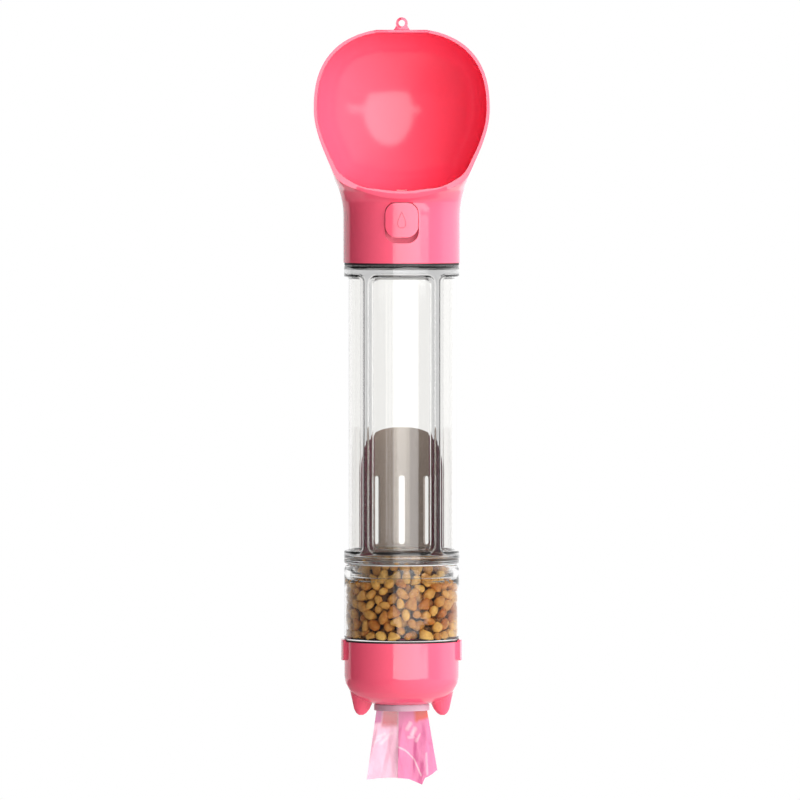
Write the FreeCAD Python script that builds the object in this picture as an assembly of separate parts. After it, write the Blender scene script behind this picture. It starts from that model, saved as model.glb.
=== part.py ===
import FreeCAD, Part
import math
import os

# Dog travel bottle: a drinking dish with a push valve, a clear water bottle, a clear food cup and a
# cat-eared box for waste bags, screwed together in one line, with a slotted scoop on the bottle's back.
# Units are millimetres. While it is modelled, the bottle's axis is Z, +Z is up, the dish faces -Y, and
# z = 0 is the shoulder on which the head's gasket sits. At the end everything moves so that the centre
# of the lanyard eye's hole is the origin.

# Tube
TUBE_RADIUS = 30.0
TUBE_SEAM_STEP = 0.1
FIT_GAP = 0.1
LOOSE_GAP = 0.3
GLUE_GAP = 0.02

# Head
HEAD_RADIUS = TUBE_RADIUS + 0.4
HEAD_WALL = 2.6
GASKET_HEIGHT = 1.3
GASKET_STEP = 0.6
SKIRT_STEP = 0.1
NECK_TOP = 26.0
BOWL_HALF_WIDTH = 45.5
BOWL_WIDEST = 81.0
BOWL_RISE = 42.0
BOWL_ROUNDNESS = 2.45
RIM_AHEAD = 2.5
RIM_PLANE_Y = -TUBE_RADIUS - RIM_AHEAD
RIM_WALL = 1.6
DISH_DEPTH = 30.0
DISH_WALL = 2.2
DISH_ROUNDNESS = 2.4
DISH_CENTRE = 79.5
LIP_START = 32.6
LIP_RUN = 8.5
LIP_FLARE = 12.0
LIP_BAND = 2.3
SQUARE_START = 38.0
SQUARE_RUN = 12.0
LIP_SQUARENESS = 4.5
SECTION_POINTS = 20
TOP_SHARES = (0, 0.22, 0.42, 0.6, 0.74, 0.85, 0.92, 0.96, 0.98)
DISH_SHARES = (-0.08, 0.0, 0.25, 0.48, 0.68, 0.84, 0.94, 0.985)
BISECTIONS = 40
ROOM_DROP = 14.0

# Lanyard eye
EYE_HOLE_RADIUS = 1.65
EYE_RADIUS = 3.05
EYE_THICKNESS = 2.8
EYE_RISE = 2.6
EYE_FOOT_HALF = 5.0

# Screw joints
THREAD_HEIGHT = 7.6
NECK_THREAD_RADIUS = TUBE_RADIUS - 5.0
NECK_BORE_RADIUS = NECK_THREAD_RADIUS - 2.4
CUP_THREAD_RADIUS = TUBE_RADIUS - 3.0
BOX_THREAD_RADIUS = TUBE_RADIUS - 3.5
SPIGOT_WALL = 1.8

# Button and slide
BUTTON_WIDTH = 17.0
BUTTON_HEIGHT = 18.0
BUTTON_CORNER = 6.0
BUTTON_CENTRE = 23.8
BUTTON_THICKNESS = 3.4
BUTTON_PROUD = 1.2
BUTTON_TRAVEL = 2.2
BUTTON_GAP = 0.3
LOCK_TRAVEL = 2.8
POCKET_WALL = 1.5
BUTTON_CROWN_RADIUS = 48.6
STEM_SIDE = 6.0
BUTTON_SPRING_RADIUS = 1.5
BUTTON_SPRING_WIRE = 0.4
BUTTON_SPRING_TURNS = 8
SPRING_BORE_RADIUS = 1.9
SPRING_BORE_FLOOR = 1.2
CARRIAGE_THICKNESS = 1.8
CARRIAGE_MARGIN = 4.0
CARRIAGE_FOOT = 2.4
CARRIAGE_HEAD = 3.0
REST_DEPTH = 5.3
REST_THICKNESS = 1.5
REST_HALF_WIDTH = 1.9
REST_CLEARANCE = 0.8
RAIL_THICKNESS = 1.2
RAIL_LIP = 1.2
FORK_CLEARANCE = 0.4
FORK_WIDTH = 3.2
FORK_WEB = 1.8
RAMP_LEAD = 2.1

# Valve
VALVE_Y = 8.0
SEAT_THICKNESS = 1.6
SEAT_RADIUS = 4.0
PLUG_RADIUS = 5.2
PLUG_HEIGHT = 1.6
STEM_RADIUS = 2.0
CHAMBER_RADIUS = 6.6
CHAMBER_HEIGHT = 4.0
CHAMBER_WALL = 1.8
GLAND_HEIGHT = 2.6
ORING_WIRE = 0.7
ORING_SIDES = 6
COLLAR_RADIUS = 5.0
COLLAR_HEIGHT = 1.6
COLLAR_LIFT = 5.1
SPRING_WIRE = 0.6
SPRING_RADIUS = 3.4
SPRING_HEIGHT = 7.2
SPRING_TURNS = 5
SPRING_SLACK = 0.05
COIL_STEPS = 10
COIL_SIDES = 6
BRIDGE_THICKNESS = 1.5
BRIDGE_HALF_WIDTH = 3.6
BRIDGE_LEG = 2.2
DUCT_HALF_WIDTH = 3.8
DUCT_HEIGHT = 2.2
DUCT_CLEARANCE = 0.7
DUCT_WALL = 0.5
DUCT_SEAT = 0.2
DUCT_LEG = 3.4
DUCT_SETBACK = 4.0
MOUTH_HALF_WIDTH = 2.2
PORT_HALF_WIDTH = 2.0
PORT_HEIGHT = 1.8
PORT_DROP = 0.6

# Bottle
BOTTLE_HEIGHT = 155.1
BOTTLE_WALL = 2.0
PANEL_RADIUS = TUBE_RADIUS - 2.4
PANEL_TOP = 5.7
PANEL_BOTTOM = 6.4
PILLAR_INNER_X = 17.2
PILLAR_OUTER_Y = 20.8
FRONT_PANEL_CORNER = 4.0
SIDE_PANEL_CORNER = 1.6
SHOULDER_DROP = 3.5
BOTTLE_FLOOR_RISE = 3.6
BOTTLE_FLOOR_CORNER = 2.0

# Food cup
CUP_SEAL_HEIGHT = 0.5
CUP_HEIGHT = 39.4
CUP_WALL = 1.8
CUP_FLOOR = 1.6
CUP_SHOULDER = 2.0
SHOULDER_STEPS = 2
CUP_FLOOR_CORNER = 1.5
KIBBLE_RADIUS = 3.9
KIBBLE_HEIGHT = 5.4
KIBBLE_GAP = 0.45
KIBBLE_LAYERS = 6
KIBBLE_TURN = 137.5
PELLET_CORNERS = (0, 75, 140, 245)

# Waste-bag box
BOX_SEAL_HEIGHT = 0.8
BOX_STRAIGHT = 17.9
BOX_DOME = 15.0
BOX_DOME_REACH = 20.0
DOME_STEPS = 6
ROOM_STEPS = 2
BOX_WALL = 2.0
EAR_X = 18.8
EAR_TOP = 20.0
EAR_TIP = 38.7
EAR_HALF_WIDTH = 9.4
EAR_HALF_DEPTH = 6.2
EAR_TIP_RADIUS = 2.9
EAR_CAP = 0.82
EAR_SHARES = (0.0, 0.45, 0.82, 0.93, 0.985)
EAR_SIDES = 20
EAR_LEAN = 2.4
TAB_HEIGHT = 10.8
TAB_RISE = 1.2
TAB_PROUD = 1.7
TAB_HALF_WIDTH = 9.0
TAB_CORNER = 2.0
NOZZLE_RADIUS = 14.0
NOZZLE_WALL = 1.0
NOZZLE_DROP = 2.9
NOZZLE_FLANGE = 0.4
NOZZLE_SEAT = 0.05
NOZZLE_RISE = 1.2
ROLL_RADIUS = 12.0
ROLL_LENGTH = 40.0
ROLL_DEPTH = 15.7
CORE_RADIUS = 6.0
CORE_WALL = 0.8
SADDLE_X = 14.0
SADDLE_THICKNESS = 1.8

# Waste bag
FILM_THICKNESS = 0.5
FILM_TOP_HALF = 12.7
FILM_DROP = 38.4
FILM_LEFT = -18.2
FILM_RIGHT = 18.6
FILM_TEAR = 7.4

# Scoop
SCOOP_GAP = 0.3
SCOOP_WALL = 2.4
SCOOP_HALF_WIDTH = 23.4
SCOOP_HEIGHT = 69.8
SCOOP_ARCH = 25.0
SCOOP_ROUNDNESS = 2.7
SLOT_WIDTH = 3.1
SLOT_TOP_DROP = 25.2
SLOT_FOOT = 8.5
SLOT_X = 13.6
SCOOP_RIB = 1.6
SCOOP_RIB_DEPTH = 1.9

SKIRT_FOOT = GASKET_HEIGHT
HEAD_TOP = BOWL_WIDEST + BOWL_RISE * TOP_SHARES[-1]
FLARE_FOOT = NECK_TOP - 7
SEAT_FLOOR = THREAD_HEIGHT + 0.6
SEAT_TOP = SEAT_FLOOR + SEAT_THICKNESS
CHAMBER_TOP = SEAT_TOP + CHAMBER_HEIGHT
GLAND_TOP = CHAMBER_TOP + GLAND_HEIGHT
PORT_HIGH = CHAMBER_TOP - PORT_DROP
PORT_LOW = PORT_HIGH - PORT_HEIGHT
COLLAR_FOOT = GLAND_TOP + COLLAR_LIFT
COLLAR_TOP = COLLAR_FOOT + COLLAR_HEIGHT
BRIDGE_FOOT = COLLAR_TOP + SPRING_HEIGHT
STEM_TOP = BRIDGE_FOOT + BRIDGE_THICKNESS - 0.3
DUCT_FOOT = STEM_TOP + BUTTON_TRAVEL + DUCT_CLEARANCE
BUTTON_FRONT = -HEAD_RADIUS - BUTTON_PROUD
BUTTON_BACK = BUTTON_FRONT + BUTTON_THICKNESS
POCKET_FLOOR = BUTTON_BACK + BUTTON_TRAVEL + 0.2
POCKET_BACK = POCKET_FLOOR + POCKET_WALL
POCKET_LOW = BUTTON_CENTRE - BUTTON_HEIGHT / 2 - LOCK_TRAVEL - BUTTON_GAP
POCKET_HIGH = BUTTON_CENTRE + BUTTON_HEIGHT / 2 + BUTTON_GAP
BOTTLE_FOOT = -BOTTLE_HEIGHT
CUP_TOP = BOTTLE_FOOT - CUP_SEAL_HEIGHT
CUP_FOOT = CUP_TOP - CUP_HEIGHT
BOX_TOP = CUP_FOOT - BOX_SEAL_HEIGHT
DOME_START = BOX_TOP - BOX_STRAIGHT
BOX_FOOT = DOME_START - BOX_DOME
ROLL_AXIS = BOX_TOP - ROLL_DEPTH
CUP_RADIUS = TUBE_RADIUS - TUBE_SEAM_STEP
EYE_CENTRE = BOWL_WIDEST + BOWL_RISE + EYE_RISE
EYE_MIDDLE_Y = RIM_PLANE_Y + EYE_THICKNESS / 2

X_AXIS = FreeCAD.Vector(1, 0, 0)
Y_AXIS = FreeCAD.Vector(0, 1, 0)
Z_AXIS = FreeCAD.Vector(0, 0, 1)


def at(x, y, z):
    """A point."""
    return FreeCAD.Vector(x, y, z)


def smooth(t):
    """The smooth step from 0 to 1."""
    t = min(max(t, 0.0), 1.0)
    return t * t * (3 - 2 * t)


def round_off(share, power):
    """How wide a superellipse still is at a share of its height."""
    return max(1 - min(abs(share), 1.0) ** power, 0.0) ** (1 / power)


def lying_rod(radius, length, z):
    """A cylinder along X, centred on the bottle's axis."""
    return Part.makeCylinder(radius, length, at(-length / 2, 0, z), X_AXIS)


def block(x0, x1, y0, y1, z0, z1):
    """A box between two corners."""
    return Part.makeBox(x1 - x0, y1 - y0, z1 - z0, at(x0, y0, z0))


def rod(radius, z0, z1, x=0.0, y=0.0):
    """An upright cylinder."""
    return Part.makeCylinder(radius, z1 - z0, at(x, y, z0))


def ring(outer, inner, z0, z1, x=0.0, y=0.0):
    """An upright tube."""
    return rod(outer, z0, z1, x, y).cut(rod(inner, z0 - 1, z1 + 1, x, y))


def turned(points):
    """The solid that a closed outline of (radius, z) points makes about Z."""
    wire = Part.makePolygon([at(r, 0, z) for r, z in points] + [at(points[0][0], 0, points[0][1])])
    return Part.Face(wire).revolve(at(0, 0, 0), Z_AXIS, 360)


def rounded_rectangle(half_width, low, high, corner, y):
    """A wire in a plane of constant y, with four round corners."""
    k = corner * (1 - math.sqrt(0.5))
    edges = []
    for sx, zc, sz in ((1, high, 1), (-1, high, 1), (-1, low, -1), (1, low, -1)):
        side = at(sx * half_width, y, zc - sz * corner)
        middle = at(sx * (half_width - k), y, zc - sz * k)
        end = at(sx * (half_width - corner), y, zc)
        edges.append((side, middle, end) if sx == sz else (end, middle, side))
    path = []
    for number, (start, middle, end) in enumerate(edges):
        path.append(Part.Arc(start, middle, end).toShape())
        path.append(Part.LineSegment(end, edges[(number + 1) % 4][0]).toShape())
    return Part.Wire(path)


def arcs_through(points):
    """A closed wire of arcs, each through three of an even number of points."""
    closed = points + points[:1]
    arcs = [Part.Arc(*closed[number:number + 3]) for number in range(0, len(points), 2)]
    return Part.Wire([arc.toShape() for arc in arcs])


def lines_through(points):
    """A closed wire of straight lines."""
    return Part.makePolygon(points + points[:1])


def plate(wire, thickness, direction=Y_AXIS):
    """The solid between a flat wire and its copy along a direction."""
    return Part.Face(wire).extrude(direction * thickness)


def coil(radius, wire, length, turns, start, axis):
    """A compression spring: a loft through the wire's sections along the helix."""
    rise = (length - wire) / (2 * math.pi * turns)
    sections = []
    for number in range(turns * COIL_STEPS + 1):
        angle = 2 * math.pi * number / COIL_STEPS
        out = at(math.cos(angle), math.sin(angle), 0)
        heading = at(-radius * math.sin(angle), radius * math.cos(angle), rise).normalize()
        across = heading.cross(out)
        centre = out * radius + Z_AXIS * (wire / 2 + rise * angle)
        corners = []
        for side in range(COIL_SIDES):
            turn = 2 * math.pi * (side + 0.5) / COIL_SIDES
            corners.append(centre + (out * math.cos(turn) + across * math.sin(turn)) * (wire / 2))
        sections.append(Part.makePolygon(corners + corners[:1]))
    spring = Part.makeLoft(sections, True, True)
    spring.Placement = FreeCAD.Placement(start, FreeCAD.Rotation(Z_AXIS, axis))
    return spring


def bowl_half_width(z):
    """Half the head's width at a height: neck, flare and round top."""
    if z >= BOWL_WIDEST:
        return BOWL_HALF_WIDTH * round_off((z - BOWL_WIDEST) / BOWL_RISE, BOWL_ROUNDNESS)
    spread = smooth((z - NECK_TOP) / (BOWL_WIDEST - NECK_TOP))
    return HEAD_RADIUS + (BOWL_HALF_WIDTH - HEAD_RADIUS) * spread


def bowl_middle(z):
    """Where the head is widest, from the neck's axis to the rim's plane."""
    return RIM_PLANE_Y * smooth((z - NECK_TOP) / (BOWL_WIDEST - NECK_TOP))


def bowl_back(z):
    """The back of the head, from the neck's back to the dish's back."""
    dish_back = DISH_DEPTH + DISH_WALL
    if z >= BOWL_WIDEST:
        return RIM_PLANE_Y + dish_back * round_off((z - BOWL_WIDEST) / BOWL_RISE, DISH_ROUNDNESS)
    lean = smooth((z - NECK_TOP) / (BOWL_WIDEST - NECK_TOP))
    return HEAD_RADIUS + (RIM_PLANE_Y + dish_back - HEAD_RADIUS) * lean


def bowl_front(z):
    """The front of the head before the rim's plane cuts it: the lip flares out under the dish."""
    return -HEAD_RADIUS - LIP_FLARE * smooth((z - LIP_START) / LIP_RUN)


def back_power(z):
    """The superellipse power of the head's rear half: round at the neck, fuller at the dish."""
    return 2 + (DISH_ROUNDNESS - 2) * smooth((z - NECK_TOP) / (BOWL_WIDEST - NECK_TOP))


def front_power(z):
    """The superellipse power of the head's front half, which squares up over the lip."""
    return 2 + LIP_SQUARENESS * smooth((z - SQUARE_START) / SQUARE_RUN)


def head_section(z, inset, join):
    """A closed level curve of the head, drawn in by a wall, that starts and ends at the back."""
    middle = bowl_middle(z)
    width = bowl_half_width(z) - inset
    front = middle - bowl_front(z) - inset
    back = bowl_back(z) - middle - inset
    points = []
    for number in range(SECTION_POINTS):
        angle = 2 * math.pi * (number / SECTION_POINTS + 0.25)
        c, s = math.cos(angle), math.sin(angle)
        power, reach = (back_power(z), back) if s >= 0 else (front_power(z), front)
        x = math.copysign(abs(c) ** (2 / power), c) * width
        points.append(at(x, middle + math.copysign(abs(s) ** (2 / power), s) * reach, z))
    return join(points)


def head_heights(top, skip):
    """Levels of the flare's and the dish's sections, closer together at the lip and at the round top."""
    lip_end = LIP_START + 2 * LIP_RUN
    spans = [(FLARE_FOOT, LIP_START, 4), (LIP_START, lip_end, 8), (lip_end, BOWL_WIDEST, 4)]
    levels = [low + (high - low) * step / count for low, high, count in spans for step in range(0, count, skip)]
    levels += [BOWL_WIDEST + BOWL_RISE * share for share in TOP_SHARES]
    return [z for z in levels if z < top] + [top]


def rim_outline(drawn_in, scale, y, join):
    """The dish's outline in a plane of constant y, drawn in from the head's edge at the rim."""
    points = []
    for number in range(SECTION_POINTS):
        angle = 2 * math.pi * number / SECTION_POINTS
        near, far = 0.0, BOWL_WIDEST
        for _ in range(BISECTIONS):
            radius = (near + far) / 2
            x, z = radius * math.cos(angle), DISH_CENTRE + radius * math.sin(angle)
            near, far = (radius, far) if abs(x) < rim_chord(z) else (near, radius)
        lip = LIP_BAND * max(-math.sin(angle), 0.0) ** 3
        reach = (near - drawn_in - lip) * scale
        points.append(at(reach * math.cos(angle), y, DISH_CENTRE + reach * math.sin(angle)))
    return join(points)


def rim_chord(z):
    """Half the width of the head where the rim's plane cuts it."""
    ahead = bowl_middle(z) - RIM_PLANE_Y
    reach = bowl_middle(z) - bowl_front(z)
    if ahead >= reach or z > HEAD_TOP:
        return 0.0
    return bowl_half_width(z) * round_off(ahead / reach, front_power(z))


def dish_solid(wall):
    """The dish's hollow, or with a wall the plainer solid that lines it."""
    depth = DISH_DEPTH + wall
    join = lines_through if wall else arcs_through
    wires = []
    for share in DISH_SHARES:
        scale = round_off(max(share, 0.0), DISH_ROUNDNESS)
        wires.append(rim_outline(RIM_WALL - wall, scale, RIM_PLANE_Y + depth * share, join))
    return Part.makeLoft(wires, True, True)


def eye_plate():
    """The lanyard eye: a round tab on a flared foot, with its hole along Y."""
    foot = HEAD_TOP - RIM_WALL / 2
    waist = EYE_CENTRE - EYE_RADIUS * 0.35
    side = EYE_RADIUS * math.sqrt(1 - 0.35 ** 2)
    bend = at(side + 0.5, RIM_PLANE_Y, (foot + waist) / 2 + 0.4)
    mirror = at(-bend.x, bend.y, bend.z)
    corners = [at(s * EYE_FOOT_HALF, RIM_PLANE_Y, foot) for s in (-1, 1)]
    shoulders = [at(s * side, RIM_PLANE_Y, waist) for s in (1, -1)]
    outline = Part.Wire([
        Part.LineSegment(corners[0], corners[1]).toShape(),
        Part.Arc(corners[1], bend, shoulders[0]).toShape(),
        Part.LineSegment(shoulders[0], shoulders[1]).toShape(),
        Part.Arc(shoulders[1], mirror, corners[0]).toShape(),
    ])
    head = Part.makeCylinder(EYE_RADIUS, EYE_THICKNESS, at(0, RIM_PLANE_Y, EYE_CENTRE), Y_AXIS)
    return plate(outline, EYE_THICKNESS).fuse(head)


def duct_outside(gap):
    """The flat duct's outer form, with a gap round it: along under the dish, a riser and a rear leg."""
    rear = VALVE_Y + CHAMBER_RADIUS + CHAMBER_WALL + DUCT_SEAT
    front = RIM_PLANE_Y + DUCT_SETBACK
    low, top = DUCT_FOOT - gap, DUCT_FOOT + DUCT_HEIGHT + gap
    half, end = DUCT_HALF_WIDTH + gap, rear + DUCT_LEG + gap
    run = block(-half, half, front - gap, end, low, top)
    leg = block(-half, half, rear - gap, end, PORT_LOW - DUCT_WALL - gap, top)
    side = MOUTH_HALF_WIDTH + DUCT_WALL + gap
    riser = block(-side, side, front - gap, front + DUCT_HEIGHT + gap, low, top + 2 * DISH_WALL)
    return run.fuse([leg, riser])


def duct_inside():
    """The water's way through the duct: port, rear leg, run and mouth."""
    rear = VALVE_Y + CHAMBER_RADIUS + CHAMBER_WALL + DUCT_SEAT
    front = RIM_PLANE_Y + DUCT_SETBACK
    low, top = DUCT_FOOT + DUCT_WALL, DUCT_FOOT + DUCT_HEIGHT - DUCT_WALL
    half, end = DUCT_HALF_WIDTH - DUCT_WALL, rear + DUCT_LEG - DUCT_WALL
    run = block(-half, half, front + DUCT_WALL, end, low, top)
    leg = block(-half, half, rear + DUCT_WALL, end, PORT_LOW, top)
    mouth = block(-MOUTH_HALF_WIDTH, MOUTH_HALF_WIDTH, front + DUCT_WALL, front + DUCT_HEIGHT - DUCT_WALL,
                  low, top + 3 * DISH_WALL)
    port = block(-PORT_HALF_WIDTH, PORT_HALF_WIDTH, rear - 1, rear + DUCT_WALL + 1, PORT_LOW, PORT_HIGH)
    return run.fuse([leg, mouth, port])


def bowl_shell():
    """The head: neck skirt, flare and drinking dish in one moulding, with the button's pocket."""
    reach, room_top = 2 * BOWL_HALF_WIDTH, BOWL_WIDEST - ROOM_DROP
    levels = head_heights(HEAD_TOP, 1)
    outer = Part.makeLoft([head_section(z, 0.0, arcs_through) for z in levels], True, True)
    outer = outer.common(block(-reach, reach, RIM_PLANE_Y, reach, 0, HEAD_TOP + 1))
    levels = head_heights(room_top, 2)
    room = Part.makeLoft([head_section(z, HEAD_WALL, lines_through) for z in levels], True, True)
    room = room.common(block(-reach, reach, RIM_PLANE_Y + DISH_WALL, reach, 0, room_top + 1))
    head = outer.cut(room.cut(dish_solid(DISH_WALL)))
    head = head.cut(dish_solid(0.0))
    skirt = ring(HEAD_RADIUS - SKIRT_STEP, HEAD_RADIUS - HEAD_WALL + SKIRT_STEP, SKIRT_FOOT, FLARE_FOOT)
    half = BUTTON_WIDTH / 2 + BUTTON_GAP + POCKET_WALL
    pocket = block(-half, half, -HEAD_RADIUS, POCKET_BACK, POCKET_LOW - POCKET_WALL, POCKET_HIGH + 0.7)
    pocket = pocket.common(rod(HEAD_RADIUS - 0.5, SKIRT_FOOT, NECK_TOP * 2))
    head = head.fuse(skirt).fuse([pocket] + guide_rails()).fuse(eye_plate())
    mouth = rounded_rectangle(BUTTON_WIDTH / 2 + BUTTON_GAP, POCKET_LOW, POCKET_HIGH,
                              BUTTON_CORNER, -HEAD_RADIUS - 5)
    head = head.cut(plate(mouth, POCKET_FLOOR + HEAD_RADIUS + 5))
    side = STEM_SIDE / 2 + BUTTON_GAP
    head = head.cut(block(-side, side, POCKET_FLOOR - 1, POCKET_BACK + 1,
                          BUTTON_CENTRE - side - LOCK_TRAVEL, BUTTON_CENTRE + side))
    hole = Part.makeCylinder(EYE_HOLE_RADIUS, EYE_THICKNESS * 3,
                             at(0, RIM_PLANE_Y - EYE_THICKNESS, EYE_CENTRE), Y_AXIS)
    return head.cut(hole).cut(duct_outside(FIT_GAP))


def guide_rails():
    """Two rails on the pocket's back that hold the carriage and let it slide up and down."""
    side = STEM_SIDE / 2 + FIT_GAP
    near = side + CARRIAGE_MARGIN + BUTTON_GAP
    back = POCKET_BACK + FIT_GAP + CARRIAGE_THICKNESS + BUTTON_GAP
    low = BUTTON_CENTRE - side - CARRIAGE_FOOT - LOCK_TRAVEL - BUTTON_GAP
    high = BUTTON_CENTRE + side + CARRIAGE_HEAD + BUTTON_GAP
    rails = []
    for s in (-1, 1):
        web = sorted((s * near, s * (near + RAIL_THICKNESS)))
        lip = sorted((s * (near - RAIL_LIP), s * (near + RAIL_THICKNESS)))
        rails.append(block(web[0], web[1], POCKET_BACK - POCKET_WALL / 2, back + RAIL_THICKNESS, low, high))
        rails.append(block(lip[0], lip[1], back, back + RAIL_THICKNESS, low, high))
    return rails


def thread_insert():
    """The liner in the neck skirt: female thread for the bottle and the valve's seat."""
    outer = HEAD_RADIUS - HEAD_WALL - GLUE_GAP
    bore, foot = NECK_THREAD_RADIUS + FIT_GAP, SKIRT_FOOT + LOOSE_GAP
    cup = turned([(bore, foot), (outer, foot), (outer, SEAT_TOP), (0, SEAT_TOP), (0, SEAT_FLOOR),
                  (bore, SEAT_FLOOR)])
    return cup.cut(rod(SEAT_RADIUS, SEAT_FLOOR - 1, SEAT_TOP + 1, y=VALVE_Y))


def valve_body():
    """The valve's chamber on the seat, with the gland that guides the stem."""
    outer = CHAMBER_RADIUS + CHAMBER_WALL
    body = rod(outer, SEAT_TOP, GLAND_TOP, y=VALVE_Y)
    body = body.cut(rod(CHAMBER_RADIUS, SEAT_TOP - 1, CHAMBER_TOP, y=VALVE_Y))
    body = body.cut(rod(STEM_RADIUS + FIT_GAP, CHAMBER_TOP - 1, GLAND_TOP + 1, y=VALVE_Y))
    groove = rod(STEM_RADIUS + 2 * ORING_WIRE + 0.3, CHAMBER_TOP + 0.5, CHAMBER_TOP + 0.7 + 2 * ORING_WIRE,
                 y=VALVE_Y)
    port = block(-PORT_HALF_WIDTH, PORT_HALF_WIDTH, VALVE_Y + CHAMBER_RADIUS - 2, VALVE_Y + outer + 1,
                 PORT_LOW, PORT_HIGH)
    return body.cut([groove, port])


def stem_oring():
    """The ring that seals the stem in its gland."""
    centre = CHAMBER_TOP + 0.6 + ORING_WIRE
    middle = STEM_RADIUS + ORING_WIRE + 0.12
    angles = [2 * math.pi * side / ORING_SIDES for side in range(ORING_SIDES)]
    seal = turned([(middle + ORING_WIRE * math.cos(a), centre + ORING_WIRE * math.sin(a)) for a in angles])
    seal.translate(at(0, VALVE_Y, 0))
    return seal


def valve_stem():
    """The stem: a rod with the collar that the button's fork lifts."""
    stem = rod(STEM_RADIUS, SEAT_TOP + 0.6, STEM_TOP, y=VALVE_Y)
    return stem.fuse(rod(COLLAR_RADIUS, COLLAR_FOOT, COLLAR_TOP, y=VALVE_Y))


def valve_plug():
    """The soft plug on the stem's foot, which closes the seat from above."""
    disc = rod(PLUG_RADIUS, SEAT_TOP, SEAT_TOP + PLUG_HEIGHT, y=VALVE_Y)
    nose = Part.makeCone(SEAT_RADIUS - 1.6, SEAT_RADIUS - LOOSE_GAP, 1.4, at(0, VALVE_Y, SEAT_TOP - 1.4))
    return disc.fuse(nose).cut(rod(STEM_RADIUS, SEAT_TOP + 0.6, SEAT_TOP + PLUG_HEIGHT + 1, y=VALVE_Y))


def valve_spring():
    """The spring that keeps the plug on its seat."""
    foot = at(0, VALVE_Y, COLLAR_TOP + SPRING_SLACK)
    return coil(SPRING_RADIUS, SPRING_WIRE, SPRING_HEIGHT - 2 * SPRING_SLACK, SPRING_TURNS, foot, Z_AXIS)


def valve_bridge():
    """The bridge over the valve's spring, on two legs beside the fork."""
    outer = CHAMBER_RADIUS + CHAMBER_WALL
    front, rear = VALVE_Y - BRIDGE_HALF_WIDTH, VALVE_Y + BRIDGE_HALF_WIDTH
    beam = block(-outer, outer, front, rear, BRIDGE_FOOT, BRIDGE_FOOT + BRIDGE_THICKNESS)
    legs = [block(x, x + BRIDGE_LEG, front, rear, GLAND_TOP, BRIDGE_FOOT)
            for x in (-outer, outer - BRIDGE_LEG)]
    bridge = beam.fuse(legs).common(rod(outer, SEAT_TOP, BRIDGE_FOOT + 5, y=VALVE_Y))
    return bridge.cut(rod(STEM_RADIUS + FIT_GAP, BRIDGE_FOOT - 1, BRIDGE_FOOT + 5, y=VALVE_Y))


def outlet_duct():
    """The flat duct from the valve's chamber to the mouth inside the dish's lower lip."""
    return duct_outside(0.0).cut([duct_inside(), dish_solid(0.0)])


def lock_slider():
    """The carriage behind the pocket: it guides the button and moves down with it to lock."""
    side = STEM_SIDE / 2 + FIT_GAP
    wide = side + CARRIAGE_MARGIN
    front = POCKET_BACK + FIT_GAP
    back = front + CARRIAGE_THICKNESS
    top = BUTTON_CENTRE + side
    frame = block(-wide, wide, front, back, BUTTON_CENTRE - side - CARRIAGE_FOOT, top + CARRIAGE_HEAD)
    frame = frame.cut(block(-side, side, front - 1, back + 1, BUTTON_CENTRE - side, top))
    rest = button_rest()
    half, end = REST_HALF_WIDTH, rest + REST_THICKNESS
    arm = block(-half, half, back - 0.5, end, top + BUTTON_GAP, top + BUTTON_GAP + REST_THICKNESS)
    wall = block(-half, half, rest, end, BUTTON_CENTRE - BUTTON_SPRING_RADIUS * 1.6, top + REST_THICKNESS)
    return frame.fuse([arm, wall])


def button_rest():
    """Where the button's spring leans on the carriage."""
    return POCKET_BACK + FIT_GAP + CARRIAGE_THICKNESS + REST_DEPTH


def stem_back():
    """The back end of the button's stem at rest."""
    return button_rest() - BUTTON_TRAVEL - REST_CLEARANCE


def push_button():
    """The button: a crowned cap, a square stem with the spring's bore, and a fork of two wedges."""
    low, high = BUTTON_CENTRE - BUTTON_HEIGHT / 2, BUTTON_CENTRE + BUTTON_HEIGHT / 2
    outline = rounded_rectangle(BUTTON_WIDTH / 2, low, high, BUTTON_CORNER, BUTTON_FRONT)
    crown = rod(BUTTON_CROWN_RADIUS, low - 5, high + 5, y=BUTTON_FRONT + BUTTON_CROWN_RADIUS)
    cap = plate(outline, BUTTON_THICKNESS).common(crown)
    half = STEM_SIDE / 2
    stem = block(-half, half, BUTTON_BACK - 0.5, stem_back(), BUTTON_CENTRE - half, BUTTON_CENTRE + half)
    bore_floor = at(0, BUTTON_BACK + SPRING_BORE_FLOOR, BUTTON_CENTRE)
    bore = Part.makeCylinder(SPRING_BORE_RADIUS, HEAD_RADIUS, bore_floor, Y_AXIS)
    tine = STEM_RADIUS + FORK_CLEARANCE
    edge_y = VALVE_Y - math.sqrt(COLLAR_RADIUS ** 2 - tine ** 2)
    ramp_foot = COLLAR_FOOT - RAMP_LEAD
    ramp_top = COLLAR_FOOT + BUTTON_TRAVEL + FIT_GAP
    touch = COLLAR_FOOT - FIT_GAP
    back = stem_back()
    profile = [(back - FORK_WEB, ramp_foot), (edge_y + touch - ramp_foot, ramp_foot),
               (edge_y + touch - ramp_top, ramp_top), (back - FORK_WEB, ramp_top)]
    fork = []
    for x in (-tine - FORK_WIDTH, tine):
        outline = Part.makePolygon([at(x, y, z) for y, z in profile + profile[:1]])
        fork.append(plate(outline, FORK_WIDTH, X_AXIS))
    web = block(-tine - FORK_WIDTH, tine + FORK_WIDTH, back - FORK_WEB, back, ramp_foot, ramp_top)
    return cap.fuse([stem.cut(bore)] + fork + [web.cut(bore)])


def button_spring():
    """The spring in the button's stem, which brings the button back."""
    start = BUTTON_BACK + SPRING_BORE_FLOOR + SPRING_SLACK
    length = button_rest() - SPRING_SLACK - start
    return coil(BUTTON_SPRING_RADIUS, BUTTON_SPRING_WIRE, length, BUTTON_SPRING_TURNS,
                at(0, start, BUTTON_CENTRE), Y_AXIS)


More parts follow.
